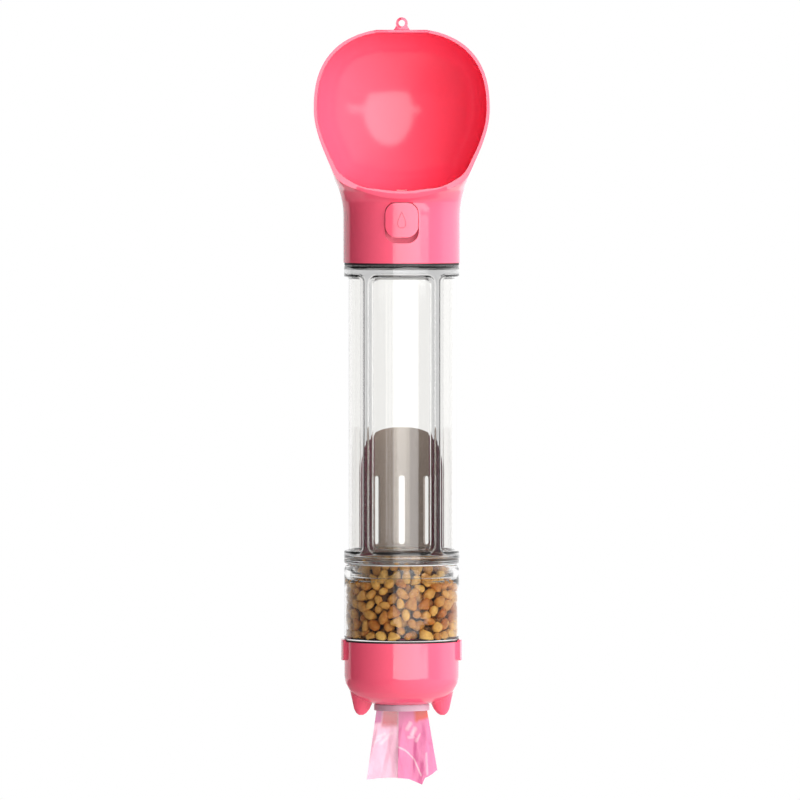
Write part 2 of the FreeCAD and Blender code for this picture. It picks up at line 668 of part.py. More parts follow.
def neck_gasket():
    """The black ring between the head's skirt and the bottle's shoulder."""
    return ring(HEAD_RADIUS - GASKET_STEP, NECK_THREAD_RADIUS + FIT_GAP, 0, GASKET_HEIGHT)


def water_bottle():
    """The clear bottle: threaded neck, four sunk panels between pillars, floor and lower thread."""
    inner = PANEL_RADIUS - BOTTLE_WALL
    floor = BOTTLE_FOOT + BOTTLE_FLOOR_RISE
    spigot = BOTTLE_FOOT - THREAD_HEIGHT + CUP_SEAL_HEIGHT
    inside = CUP_THREAD_RADIUS - SPIGOT_WALL
    underside = floor - BOTTLE_WALL
    body = turned([
        (NECK_BORE_RADIUS, THREAD_HEIGHT), (NECK_THREAD_RADIUS, THREAD_HEIGHT), (NECK_THREAD_RADIUS, 0),
        (TUBE_RADIUS, 0), (TUBE_RADIUS, BOTTLE_FOOT), (CUP_THREAD_RADIUS, BOTTLE_FOOT),
        (CUP_THREAD_RADIUS, spigot), (inside, spigot), (inside, underside), (0, underside), (0, floor),
        (inner - BOTTLE_FLOOR_CORNER, floor), (inner, floor + BOTTLE_FLOOR_CORNER),
        (inner, -PANEL_TOP), (NECK_BORE_RADIUS, -PANEL_TOP + SHOULDER_DROP)])
    low, high = BOTTLE_FOOT + PANEL_BOTTOM, -PANEL_TOP
    core = rod(PANEL_RADIUS, BOTTLE_FOOT, 0)
    front = plate(rounded_rectangle(PILLAR_INNER_X, low, high, FRONT_PANEL_CORNER, -TUBE_RADIUS - 5),
                  2 * TUBE_RADIUS + 10)
    sides = plate(rounded_rectangle(PILLAR_OUTER_Y, low, high, SIDE_PANEL_CORNER, -TUBE_RADIUS - 5),
                  2 * TUBE_RADIUS + 10)
    sides.rotate(at(0, 0, 0), Z_AXIS, 90)
    return body.cut([front.cut(core), sides.cut(core)])


def cup_seal():
    """The thin soft ring between the bottle's foot and the cup."""
    return ring(CUP_RADIUS - CUP_SHOULDER, CUP_THREAD_RADIUS + FIT_GAP, CUP_TOP, BOTTLE_FOOT)


def food_cup():
    """The clear food cup: thread at the top, floor, and a spigot for the bag box below."""
    bore = CUP_THREAD_RADIUS + FIT_GAP
    inner = CUP_RADIUS - CUP_WALL
    thread_foot = CUP_TOP - THREAD_HEIGHT
    spigot = CUP_FOOT - BOX_SEAL_HEIGHT - THREAD_HEIGHT + 0.9
    inside = BOX_THREAD_RADIUS - SPIGOT_WALL
    floor = CUP_FOOT + CUP_FLOOR
    angles = [math.pi / 2 * step / SHOULDER_STEPS for step in range(SHOULDER_STEPS, -1, -1)]
    shoulder = [(CUP_RADIUS - CUP_SHOULDER * (1 - math.cos(a)), CUP_TOP - CUP_SHOULDER * (1 - math.sin(a)))
                for a in angles]
    return turned(shoulder + [
        (CUP_RADIUS, CUP_FOOT), (BOX_THREAD_RADIUS, CUP_FOOT), (BOX_THREAD_RADIUS, spigot), (inside, spigot),
        (inside, CUP_FOOT), (0, CUP_FOOT), (0, floor), (inner - CUP_FLOOR_CORNER, floor),
        (inner, floor + CUP_FLOOR_CORNER), (inner, thread_foot - 1), (bore, thread_foot), (bore, CUP_TOP)])


def kibble():
    """The dry food: four-cornered pellets, laid in rings and layers."""
    pitch = 2 * KIBBLE_RADIUS + KIBBLE_GAP
    floor = CUP_FOOT + CUP_FLOOR + KIBBLE_GAP
    pellets = []
    for layer in range(KIBBLE_LAYERS):
        z = floor + layer * (KIBBLE_HEIGHT + KIBBLE_GAP)
        wall = CUP_RADIUS - CUP_WALL
        if layer == 0:
            wall -= CUP_FLOOR_CORNER
        if z + KIBBLE_HEIGHT > CUP_TOP - THREAD_HEIGHT - 1:
            wall = CUP_THREAD_RADIUS - SPIGOT_WALL
        ring_radius = wall - KIBBLE_GAP - KIBBLE_RADIUS
        while ring_radius > 0:
            count = max(int(math.pi / math.asin(min(pitch / 2 / ring_radius, 1.0))), 1)
            for number in range(count):
                turn = 2 * math.pi * number / count + layer * 0.9
                x, y = ring_radius * math.cos(turn), ring_radius * math.sin(turn)
                pellets.append(pellet(x, y, z, math.radians(KIBBLE_TURN * (len(pellets) + 1))))
            ring_radius -= pitch
    return Part.makeCompound(pellets)


def pellet(x, y, z, turn):
    """One pellet: a four-cornered kite, cut flat above and below."""
    corners = []
    for spread in PELLET_CORNERS:
        angle = turn + math.radians(spread)
        corners.append(at(x + KIBBLE_RADIUS * math.cos(angle), y + KIBBLE_RADIUS * math.sin(angle), z))
    return plate(Part.makePolygon(corners + corners[:1]), KIBBLE_HEIGHT, Z_AXIS)


def box_seal():
    """The black ring between the cup and the bag box."""
    return ring(CUP_RADIUS - 0.4, BOX_THREAD_RADIUS + FIT_GAP, BOX_TOP, CUP_FOOT)


def box_profile(drawn_in, floor, steps):
    """The bag box's turned form: a straight wall over an elliptical dome."""
    side, reach, drop = CUP_RADIUS - drawn_in, BOX_DOME_REACH - drawn_in, DOME_START - floor
    angles = [math.pi / 2 * step / steps for step in range(steps + 1)]
    dome = [(side - reach * (1 - math.cos(a)), DOME_START - drop * math.sin(a)) for a in angles]
    return turned(dome + [(0, floor), (0, BOX_TOP), (side, BOX_TOP)])


def oval(centre, half_x, half_y):
    """A level oval wire of short straight sides."""
    angles = [2 * math.pi * side / EAR_SIDES for side in range(EAR_SIDES + 1)]
    return Part.makePolygon([centre + at(half_x * math.cos(a), half_y * math.sin(a), 0) for a in angles])


def ear(side):
    """One cat's ear on the dome: a flattened cone that ends in a round tip."""
    wires = []
    for share in EAR_SHARES:
        z = BOX_TOP - EAR_TOP - (EAR_TIP - EAR_TOP) * share
        cone = 1 - share * (1 - EAR_TIP_RADIUS / EAR_HALF_WIDTH)
        cap = math.sqrt(max(1 - max((share - EAR_CAP) / (1 - EAR_CAP), 0.0) ** 2, 0.0))
        centre = at(side * (EAR_X + EAR_LEAN * share), 0, z)
        wires.append(oval(centre, EAR_HALF_WIDTH * cone * cap, EAR_HALF_DEPTH * cone * cap))
    return Part.makeLoft(wires, True, True)


def side_tab(side):
    """A grip tab on the box's side, rising a little past its top edge."""
    inner = CUP_RADIUS + 0.2
    band = ring(CUP_RADIUS + TAB_PROUD, inner, BOX_TOP, BOX_TOP + TAB_RISE)
    root = ring(CUP_RADIUS + TAB_PROUD, CUP_RADIUS - BOX_WALL / 2, BOX_TOP + TAB_RISE - TAB_HEIGHT, BOX_TOP)
    outline = rounded_rectangle(TAB_HALF_WIDTH, BOX_TOP + TAB_RISE - TAB_HEIGHT, BOX_TOP + TAB_RISE,
                                TAB_CORNER, 0)
    reach = plate(outline, side * (TUBE_RADIUS + 10))
    reach.rotate(at(0, 0, 0), Z_AXIS, -90)
    return band.fuse(root).common(reach)


def bag_box():
    """The waste-bag box: cup-shaped, with ears, side tabs, roll saddles and the exit's hole."""
    floor = BOX_FOOT
    outer = box_profile(0.0, floor, DOME_STEPS).fuse([ear(-1), ear(1)])
    room = box_profile(BOX_WALL, floor + BOX_WALL, ROOM_STEPS)
    neck_foot = BOX_TOP - THREAD_HEIGHT
    thread = rod(BOX_THREAD_RADIUS + FIT_GAP, neck_foot - 1, BOX_TOP + 1)
    room = room.common(rod(TUBE_RADIUS, floor - 5, neck_foot)).fuse(thread)
    box = outer.cut(room).fuse([side_tab(-1), side_tab(1)])
    cradle = lying_rod(ROLL_RADIUS + LOOSE_GAP, 4 * TUBE_RADIUS, ROLL_AXIS)
    saddles = []
    for side in (-1, 1):
        middle = side * SADDLE_X
        rib = block(middle - SADDLE_THICKNESS / 2, middle + SADDLE_THICKNESS / 2, -TUBE_RADIUS, TUBE_RADIUS,
                    floor, ROLL_AXIS - 2)
        saddles.append(rib.common(box_profile(BOX_WALL / 2, floor + BOX_WALL / 2, ROOM_STEPS)).cut(cradle))
    return box.fuse(saddles).cut(rod(NOZZLE_RADIUS + GLUE_GAP, floor - 5, floor + 6))


def exit_ring():
    """The pale ring that the bag comes out of, held in the box's floor by a lip."""
    inner, flange = NOZZLE_RADIUS - NOZZLE_WALL, NOZZLE_RADIUS + NOZZLE_FLANGE
    foot, seat, top = BOX_FOOT - NOZZLE_DROP, BOX_FOOT - NOZZLE_SEAT, BOX_FOOT + BOX_WALL + NOZZLE_RISE
    return turned([(inner, foot), (flange, foot), (flange, seat), (NOZZLE_RADIUS, seat), (NOZZLE_RADIUS, top),
                   (inner, top)])


def bag_roll():
    """The roll of bags, lying across the box."""
    roll = lying_rod(ROLL_RADIUS, ROLL_LENGTH, ROLL_AXIS)
    return roll.cut(lying_rod(CORE_RADIUS, ROLL_LENGTH + 2, ROLL_AXIS))


def roll_core():
    """The card tube in the roll."""
    outer = CORE_RADIUS - GLUE_GAP
    tube = lying_rod(outer, ROLL_LENGTH, ROLL_AXIS)
    return tube.cut(lying_rod(outer - CORE_WALL, ROLL_LENGTH + 2, ROLL_AXIS))


def bag_film():
    """The end of the first bag: a flat strip that widens under the exit and ends torn."""
    top = ROLL_AXIS - ROLL_RADIUS - LOOSE_GAP
    mouth = BOX_FOOT - NOZZLE_DROP - 0.5
    foot = mouth - FILM_DROP
    y = -FILM_THICKNESS / 2
    outline = [(-FILM_TOP_HALF, top), (FILM_TOP_HALF, top), (FILM_TOP_HALF, mouth),
               (FILM_RIGHT, foot + FILM_TEAR), (FILM_RIGHT * 0.72, foot + FILM_TEAR / 2),
               (FILM_RIGHT * 0.56, foot), (0, foot + FILM_TEAR * 0.4), (FILM_LEFT, foot + FILM_TEAR * 0.35),
               (-FILM_TOP_HALF, mouth)]
    return plate(Part.makePolygon([at(x, y, z) for x, z in outline + outline[:1]]), FILM_THICKNESS)


def scoop():
    """The scoop: a curved blade on the bottle's back, with an arched top and three slots."""
    inner = TUBE_RADIUS + SCOOP_GAP
    outer = inner + SCOOP_WALL
    top = BOTTLE_FOOT + SCOOP_HEIGHT
    points = []
    for number in range(-8, 9):
        angle = math.pi / 2 * number / 8
        s, c = math.sin(angle), math.cos(angle)
        points.append(at(math.copysign(abs(s) ** (2 / SCOOP_ROUNDNESS), s) * SCOOP_HALF_WIDTH, 0,
                         top - SCOOP_ARCH + c ** (2 / SCOOP_ROUNDNESS) * SCOOP_ARCH))
    curve = Part.BSplineCurve()
    curve.interpolate(points)
    feet = [at(s * SCOOP_HALF_WIDTH, 0, BOTTLE_FOOT + 0.4) for s in (1, -1)]
    lines = [Part.LineSegment(a, b).toShape() for a, b in
             ((points[-1], feet[0]), (feet[0], feet[1]), (feet[1], points[0]))]
    outline = plate(Part.Wire([curve.toShape()] + lines), TUBE_RADIUS + 10)
    blade = ring(outer, inner, BOTTLE_FOOT, top).common(outline)
    slots = []
    for x in (-SLOT_X, 0, SLOT_X):
        width = SLOT_WIDTH / 2
        wire = rounded_rectangle(width, BOTTLE_FOOT + SLOT_FOOT, top - SLOT_TOP_DROP, width * 0.98, 0)
        cut = plate(wire, TUBE_RADIUS + 10)
        cut.rotate(at(0, 0, 0), Z_AXIS, -math.degrees(math.asin(x / (inner + SCOOP_WALL / 2))))
        slots.append(cut)
    ribs = []
    for side in (-1, 1):
        x = side * (PILLAR_INNER_X - LOOSE_GAP - SCOOP_RIB / 2 - 0.2)
        rib = block(x - SCOOP_RIB / 2, x + SCOOP_RIB / 2, 0, outer,
                    BOTTLE_FOOT + PANEL_BOTTOM + FRONT_PANEL_CORNER, top - SCOOP_ARCH)
        ribs.append(rib.common(ring(inner + 0.4, inner - SCOOP_RIB_DEPTH, BOTTLE_FOOT, top)))
    return blade.cut(slots).fuse(ribs)


NODES = {
    "bowl_shell": bowl_shell,
    "thread_insert": thread_insert,
    "valve_body": valve_body,
    "stem_oring": stem_oring,
    "valve_stem": valve_stem,
    "valve_plug": valve_plug,
    "valve_spring": valve_spring,
    "valve_bridge": valve_bridge,
    "outlet_duct": outlet_duct,
    "lock_slider": lock_slider,
    "push_button": push_button,
    "button_spring": button_spring,
    "neck_gasket": neck_gasket,
    "water_bottle": water_bottle,
    "cup_seal": cup_seal,
    "food_cup": food_cup,
    "kibble": kibble,
    "box_seal": box_seal,
    "bag_box": bag_box,
    "exit_ring": exit_ring,
    "bag_roll": bag_roll,
    "roll_core": roll_core,
    "bag_film": bag_film,
    "scoop": scoop,
}

os.makedirs("parts", exist_ok=True)
TO_EYE = at(0, -EYE_MIDDLE_Y, -EYE_CENTRE)
for name, make in NODES.items():
    shape = make()
    if shape.ShapeType == "Compound" and len(shape.Solids) == 1:
        shape = shape.Solids[0]
    shape.translate(TO_EYE)
    shape.exportStep(f"parts/{name}.step")
    box = shape.BoundBox
    print(f"{name:14s} solids {len(shape.Solids):3d} valid {shape.isValid()} volume {shape.Volume:10.1f}",
          f"low {box.XMin:7.2f} {box.YMin:7.2f} {box.ZMin:8.2f}",
          f"high {box.XMax:7.2f} {box.YMax:7.2f} {box.ZMax:8.2f}")
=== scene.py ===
import logging
import math
import random
from dataclasses import dataclass, field
from enum import Enum
from typing import Any, Callable, Iterable, Sequence

import bmesh
import bpy
import numpy as np
from mathutils import Matrix, Vector

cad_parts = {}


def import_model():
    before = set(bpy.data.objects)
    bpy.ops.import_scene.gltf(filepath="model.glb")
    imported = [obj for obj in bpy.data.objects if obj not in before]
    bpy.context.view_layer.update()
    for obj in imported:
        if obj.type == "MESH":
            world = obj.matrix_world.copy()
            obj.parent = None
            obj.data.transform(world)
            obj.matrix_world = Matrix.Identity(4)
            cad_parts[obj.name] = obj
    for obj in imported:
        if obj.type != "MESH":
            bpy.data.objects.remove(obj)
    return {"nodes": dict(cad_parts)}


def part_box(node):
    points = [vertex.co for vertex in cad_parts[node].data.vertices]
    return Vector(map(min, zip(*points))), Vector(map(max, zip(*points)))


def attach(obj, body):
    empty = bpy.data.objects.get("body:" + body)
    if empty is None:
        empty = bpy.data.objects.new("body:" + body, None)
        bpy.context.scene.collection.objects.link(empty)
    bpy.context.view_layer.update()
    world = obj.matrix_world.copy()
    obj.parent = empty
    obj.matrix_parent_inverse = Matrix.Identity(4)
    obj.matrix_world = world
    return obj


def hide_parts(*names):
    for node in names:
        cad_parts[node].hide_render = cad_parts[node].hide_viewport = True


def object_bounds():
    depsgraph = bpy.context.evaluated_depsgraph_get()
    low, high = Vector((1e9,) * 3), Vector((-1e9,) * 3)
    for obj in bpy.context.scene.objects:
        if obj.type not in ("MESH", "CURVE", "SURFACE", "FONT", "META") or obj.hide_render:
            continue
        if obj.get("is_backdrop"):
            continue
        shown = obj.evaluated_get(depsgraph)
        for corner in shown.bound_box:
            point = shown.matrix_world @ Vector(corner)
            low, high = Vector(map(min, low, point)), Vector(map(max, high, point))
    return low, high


log = logging.getLogger("dog_bottle")

MM = 0.001
AXIS_Y = 31.1 * MM
NOISE_MIDDLE = (0.3, 0.7)
DIVISION_ROUNDS = 4
FILM_PROPORTION = 0.65
Pair = tuple[float, float]
Steps = tuple[float, float, float, float]
Triple = tuple[float, float, float]
Colour = Triple


def srgb(red: int, green: int, blue: int) -> Colour:
    """The linear colour of three screen values from 0 to 255."""
    def linear(value: int) -> float:
        share = value / 255
        return share / 12.92 if share <= 0.04045 else ((share + 0.055) / 1.055) ** 2.4
    return linear(red), linear(green), linear(blue)


def smooth_step(low: float, high: float, value: float) -> float:
    """The smooth share from 0 at low to 1 at high, of a number or of each number in an array."""
    share = np.clip((value - low) / (high - low), 0.0, 1.0)
    return share * share * (3 - 2 * share)


class Ray(Enum):
    """The kinds of light ray that a backdrop tells apart."""

    CAMERA = "Is Camera Ray"
    GLOSSY = "Is Glossy Ray"
    TRANSMISSION = "Is Transmission Ray"
    SHADOW = "Is Shadow Ray"


class NodeSheet:
    """A node tree with short calls to add and link its nodes."""

    def __init__(self, tree: bpy.types.NodeTree) -> None:
        """Keeps the tree that the calls work on."""
        self.tree = tree

    def add(self, kind: str, **settings: Any) -> bpy.types.Node:
        """Adds a node and sets its properties.

        Args:
            kind: The node's Blender type.
            settings: Values of its properties, by name.

        Returns:
            The new node.
        """
        node = self.tree.nodes.new(kind)
        for name, value in settings.items():
            setattr(node, name, value)
        return node

    def feed(self, target: bpy.types.NodeSocket, source: Any) -> None:
        """Links an output to an input, or sets the input to a plain value."""
        if isinstance(source, bpy.types.NodeSocket):
            self.tree.links.new(source, target)
        elif isinstance(source, tuple) and len(source) == 3 and target.type == "RGBA":
            target.default_value = (*source, 1.0)
        else:
            target.default_value = source

    def math(self, operation: str, *values: Any, clamp: bool = False) -> bpy.types.NodeSocket:
        """Adds a Math node on values or outputs and returns its output."""
        node = self.add("ShaderNodeMath", operation=operation, use_clamp=clamp)
        for number, value in enumerate(values):
            self.feed(node.inputs[number], value)
        return node.outputs[0]

    def ramp(self, value: Any, low: float, high: float, to_low: float = 0.0, to_high: float = 1.0
             ) -> bpy.types.NodeSocket:
        """Adds a smooth Map Range and returns its output.

        Args:
            value: What is mapped.
            low: Where the step starts.
            high: Where the step ends.
            to_low: The result at its start.
            to_high: The result at its end.

        Returns:
            The mapped value.
        """
        node = self.add("ShaderNodeMapRange", interpolation_type="SMOOTHSTEP")
        names = ("Value", "From Min", "From Max", "To Min", "To Max")
        for name, source in zip(names, (value, low, high, to_low, to_high)):
            self.feed(node.inputs[name], source)
        return node.outputs["Result"]

    def blend(self, share: Any, first: Any, second: Any) -> bpy.types.NodeSocket:
        """Mixes two colours by a share and returns the mix."""
        node = self.add("ShaderNodeMix", data_type="RGBA")
        self.feed(node.inputs["Factor"], share)
        self.feed(node.inputs["A"], first)
        self.feed(node.inputs["B"], second)
        return node.outputs["Result"]

    def axes(self, kind: str = "Object") -> bpy.types.NodeOutputs:
        """Adds texture coordinates of one kind and returns them as X, Y and Z."""
        place = self.add("ShaderNodeTexCoord")
        split = self.add("ShaderNodeSeparateXYZ")
        self.feed(split.inputs[0], place.outputs[kind])
        return split.outputs

    def roughen(self, shader: bpy.types.Node, cloud: Any, low: float, high: float) -> None:
        """Lets a shader's roughness follow a noise from low to high."""
        self.feed(shader.inputs["Roughness"], self.ramp(cloud, *NOISE_MIDDLE, low, high))

    def drift(self, group: bpy.types.NodeTree, colour: Any, amount: float, scale: float
              ) -> bpy.types.NodeSocket:
        """Adds the shared drift of tone to a colour and returns the result."""
        node = self.add("ShaderNodeGroup", node_tree=group)
        for name, value in (("Colour", colour), ("Amount", amount), ("Scale", scale)):
            self.feed(node.inputs[name], value)
        return node.outputs["Colour"]

    def cover(self, share: Any, first: bpy.types.Node, second: bpy.types.Node) -> None:
        """Mixes two shaders by a share into the material's surface."""
        mix = self.add("ShaderNodeMixShader")
        self.feed(mix.inputs["Fac"], share)
        self.feed(mix.inputs[1], first.outputs[0])
        self.feed(mix.inputs[2], second.outputs[0])
        self.feed(self.tree.nodes["Material Output"].inputs["Surface"], mix.outputs[0])

    def bump(self, shader: bpy.types.Node, height: Any, strength: float, distance: float = MM) -> None:
        """Gives a shader the bumps of a height."""
        node = self.add("ShaderNodeBump")
        node.inputs["Strength"].default_value = strength
        node.inputs["Distance"].default_value = distance
        self.feed(node.inputs["Height"], height)
        self.feed(shader.inputs["Normal"], node.outputs["Normal"])

    def grain(self, group: bpy.types.NodeTree, scale: float) -> bpy.types.NodeSocket:
        """Adds the shared grain at a scale and returns its height."""
        node = self.add("ShaderNodeGroup", node_tree=group)
        self.feed(node.inputs["Scale"], scale)
        return node.outputs["Height"]

    def noise(self, scale: Any, detail: float = 2.0, roughness: float = 0.5) -> bpy.types.NodeSocket:
        """Adds noise on object coordinates and returns its value."""
        place = self.add("ShaderNodeTexCoord")
        node = self.add("ShaderNodeTexNoise")
        self.feed(node.inputs["Vector"], place.outputs["Object"])
        self.feed(node.inputs["Scale"], scale)
        self.feed(node.inputs["Detail"], detail)
        self.feed(node.inputs["Roughness"], roughness)
        return node.outputs["Fac"]


class SharedGroups:
    """The node groups that several finishes use, each built once."""

    def __init__(self) -> None:
        """Builds the groups."""
        self.grain = self._grain()
        self.drift = self._drift()

    @staticmethod
    def _sockets(name: str, inputs: Sequence[tuple[str, str, Any]], outputs: Sequence[tuple[str, str]]
                 ) -> bpy.types.NodeTree:
        """Makes a group with its sockets.

        Args:
            name: The group's name.
            inputs: Name, socket type and default of each input.
            outputs: Name and socket type of each output.

        Returns:
            The group, still without inner nodes.
        """
        group = bpy.data.node_groups.new(name, "ShaderNodeTree")
        for label, kind, default in inputs:
            socket = group.interface.new_socket(name=label, in_out="INPUT", socket_type=kind)
            socket.default_value = default
        for label, kind in outputs:
            group.interface.new_socket(name=label, in_out="OUTPUT", socket_type=kind)
        return group

    def _grain(self) -> bpy.types.NodeTree:
        """Fine unevenness of a moulded surface, as a height from 0 to 1."""
        group = self._sockets("mould_grain", [("Scale", "NodeSocketFloat", 400.0)],
                              [("Height", "NodeSocketFloat")])
        sheet = NodeSheet(group)
        start = sheet.add("NodeGroupInput")
        end = sheet.add("NodeGroupOutput")
        sheet.feed(end.inputs["Height"], sheet.noise(start.outputs["Scale"], 3.0))
        return group

    def _drift(self) -> bpy.types.NodeTree:
        """A colour that drifts a little lighter and darker over the surface."""
        inputs = [("Colour", "NodeSocketColor", (0.8, 0.8, 0.8, 1.0)), ("Amount", "NodeSocketFloat", 0.06),
                  ("Scale", "NodeSocketFloat", 30.0)]
        group = self._sockets("tone_drift", inputs, [("Colour", "NodeSocketColor")])
        sheet = NodeSheet(group)
        start = sheet.add("NodeGroupInput")
        end = sheet.add("NodeGroupOutput")
        around = sheet.math("SUBTRACT", sheet.noise(start.outputs["Scale"]), 0.5)
        swing = sheet.math("MULTIPLY", around, start.outputs["Amount"])
        level = sheet.math("ADD", sheet.math("MULTIPLY", swing, 2.0), 1.0)
        shade = sheet.add("ShaderNodeVectorMath", operation="SCALE")
        sheet.feed(shade.inputs[0], start.outputs["Colour"])
        sheet.feed(shade.inputs["Scale"], level)
        sheet.feed(end.inputs["Colour"], shade.outputs[0])
        return group


@dataclass(frozen=True)
class Finish:
    """What all finishes share: a name, and a material with a Principled shader."""

    name: str

    def build(self, groups: SharedGroups) -> bpy.types.Material:
        """Makes the material.

        Args:
            groups: The shared node groups.

        Returns:
            The finished material.
        """
        material = bpy.data.materials.new(self.name)
        material.use_nodes = True
        self.fill(NodeSheet(material.node_tree), material.node_tree.nodes["Principled BSDF"], groups)
        return material

    def fill(self, sheet: NodeSheet, shader: bpy.types.Node, groups: SharedGroups) -> None:
        """Adds the nodes that differ between the kinds of finish.

        Args:
            sheet: The material's nodes.
            shader: Its shader.
            groups: The shared node groups.
        """
        raise NotImplementedError


@dataclass(frozen=True)
class Moulded(Finish):
    """An opaque plastic, rubber, card or metal finish, with painted shade across X where a second colour is
    given.
    """

    colour: Colour
    roughness: float = 0.3
    metallic: float = 0.0
    subsurface: float = 0.0
    grain_scale: float = 500.0
    grain_depth: float = 0.02
    drift: float = 0.05
    drift_scale: float = 25.0
    unevenness: float = 0.15
    cloud_ratio: float = 3.0
    glow_radius: Triple = (1.0, 0.35, 0.4)
    glow_scale: float = 2 * MM
    far_colour: Colour | None = None
    painted_shade_reach: Pair = (-30 * MM, 42 * MM)

    def fill(self, sheet: NodeSheet, shader: bpy.types.Node, groups: SharedGroups) -> None:
        """Adds this finish's own nodes."""
        tone = self.colour
        # Painted shade: the colour deepens towards +X, standing in for the side turned away from the light.
        if self.far_colour:
            share = sheet.ramp(sheet.axes()["X"], *self.painted_shade_reach)
            tone = sheet.blend(share, self.colour, self.far_colour)
        sheet.feed(shader.inputs["Base Color"], sheet.drift(groups.drift, tone, self.drift, self.drift_scale))
        cloud = sheet.noise(self.drift_scale * self.cloud_ratio)
        sheet.roughen(shader, cloud, self.roughness * (1 - self.unevenness),
                      self.roughness * (1 + self.unevenness))
        shader.inputs["Metallic"].default_value = self.metallic
        if self.subsurface:
            shader.inputs["Subsurface Weight"].default_value = self.subsurface
            shader.inputs["Subsurface Radius"].default_value = self.glow_radius
            shader.inputs["Subsurface Scale"].default_value = self.glow_scale
        sheet.bump(shader, sheet.grain(groups.grain, self.grain_scale), self.grain_depth)


@dataclass(frozen=True)
class Clear(Finish):
    """A see-through moulded plastic that lets lamplight reach what it holds, optionally greyed on its outer
    pillars as painted shade.
    """

    tint: Colour = (0.97, 0.98, 0.98)
    roughness: float = 0.02
    haze: float = 2.0
    cloud_scale: float = 60.0
    index: float = 1.5
    grain_scale: float = 120.0
    grain_depth: float = 0.004
    pillar_painted_shade: Colour | None = None
    pillar_shade_reach: Pair = (27.9 * MM, 28.5 * MM)

    def fill(self, sheet: NodeSheet, shader: bpy.types.Node, groups: SharedGroups) -> None:
        """Adds this finish's own nodes."""
        sheet.feed(shader.inputs["Base Color"], self.tint)
        # Painted shade: the wall turns grey beyond the sunk panels, on the pillars, standing in for their
        # darker look through the plastic.
        if self.pillar_painted_shade:
            axes = sheet.axes()
            deep = sheet.math("SUBTRACT", axes["Y"], AXIS_Y)
            reach = sheet.math("SQRT", sheet.math("ADD", sheet.math("POWER", axes["X"], 2.0),
                                                  sheet.math("POWER", deep, 2.0)))
            share = sheet.ramp(reach, *self.pillar_shade_reach)
            sheet.feed(shader.inputs["Base Color"], sheet.blend(share, self.tint, self.pillar_painted_shade))
        sheet.roughen(shader, sheet.noise(self.cloud_scale), self.roughness, self.roughness * self.haze)
        shader.inputs["IOR"].default_value = self.index
        shader.inputs["Transmission Weight"].default_value = 1.0
        sheet.bump(shader, sheet.grain(groups.grain, self.grain_scale), self.grain_depth)
        path = sheet.add("ShaderNodeLightPath")
        sheet.cover(path.outputs[Ray.SHADOW.value], shader, sheet.add("ShaderNodeBsdfTransparent"))


@dataclass(frozen=True)
class PaintedReflectionBand(Finish):
    """A satin plastic whose edges are deeper in tone than its middle, with a paler band down the middle that
    is a painted reflection.
    """

    middle: Colour
    edge: Colour
    reflection_band: Colour
    reflection_half: Pair = (3.6 * MM, 5.2 * MM)
    inner: float = 15.2 * MM
    outer: float = 16.4 * MM
    roughness: float = 0.25
    unevenness: float = 0.2
    cloud: Pair = (900.0, 3.0)
    grain_scale: float = 1200.0
    grain_depth: float = 0.05

    def fill(self, sheet: NodeSheet, shader: bpy.types.Node, groups: SharedGroups) -> None:
        """Adds this finish's own nodes."""
        aside = sheet.math("ABSOLUTE", sheet.axes()["X"])
        # Painted reflection: a paler band down the middle of the taupe.
        inner = sheet.blend(sheet.ramp(aside, *self.reflection_half), self.reflection_band, self.middle)
        share = sheet.ramp(aside, self.inner, self.outer)
        sheet.feed(shader.inputs["Base Color"], sheet.blend(share, inner, self.edge))
        sheet.roughen(shader, sheet.noise(*self.cloud), self.roughness * (1 - self.unevenness),
                      self.roughness * (1 + self.unevenness))
        sheet.bump(shader, sheet.grain(groups.grain, self.grain_scale), self.grain_depth)


@dataclass(frozen=True)
class Baked(Finish):
    """The crust of dry food: a tone of its own for each pellet, painted shade on pellets deep in the pile,
    pores and a dusty sheen.
    """

    dark: Colour = srgb(184, 102, 12)
    light: Colour = srgb(250, 200, 104)
    shaded: Colour = srgb(96, 58, 26)
    roughness: Pair = (0.42, 0.65)
    mottle: Triple = (420.0, 4.0, 0.6)
    mottle_span: Pair = (0.25, 0.75)
    mottle_swing: float = 0.22
    pore_scale: float = 900.0
    pore_depth: float = 0.6
    pore_height: float = 0.3 * MM
    tone_attribute: str = "pellet_tone"
    painted_shade_attribute: str = "pellet_painted_shade"

    def fill(self, sheet: NodeSheet, shader: bpy.types.Node, groups: SharedGroups) -> None:
        """Adds this finish's own nodes."""
        tone = sheet.add("ShaderNodeAttribute", attribute_name=self.tone_attribute)
        mottle = sheet.noise(*self.mottle)
        mottled = sheet.ramp(mottle, *self.mottle_span, -self.mottle_swing, self.mottle_swing)
        share = sheet.math("ADD", tone.outputs["Fac"], mottled, clamp=True)
        # Painted shade: pellets deep in the pile blend towards the shaded colour.
        depth = sheet.add("ShaderNodeAttribute", attribute_name=self.painted_shade_attribute)
        crust = sheet.blend(share, self.dark, self.light)
        sheet.feed(shader.inputs["Base Color"], sheet.blend(depth.outputs["Fac"], crust, self.shaded))
        sheet.roughen(shader, mottle, *self.roughness)
        sheet.bump(shader, sheet.grain(groups.grain, self.pore_scale), self.pore_depth, self.pore_height)


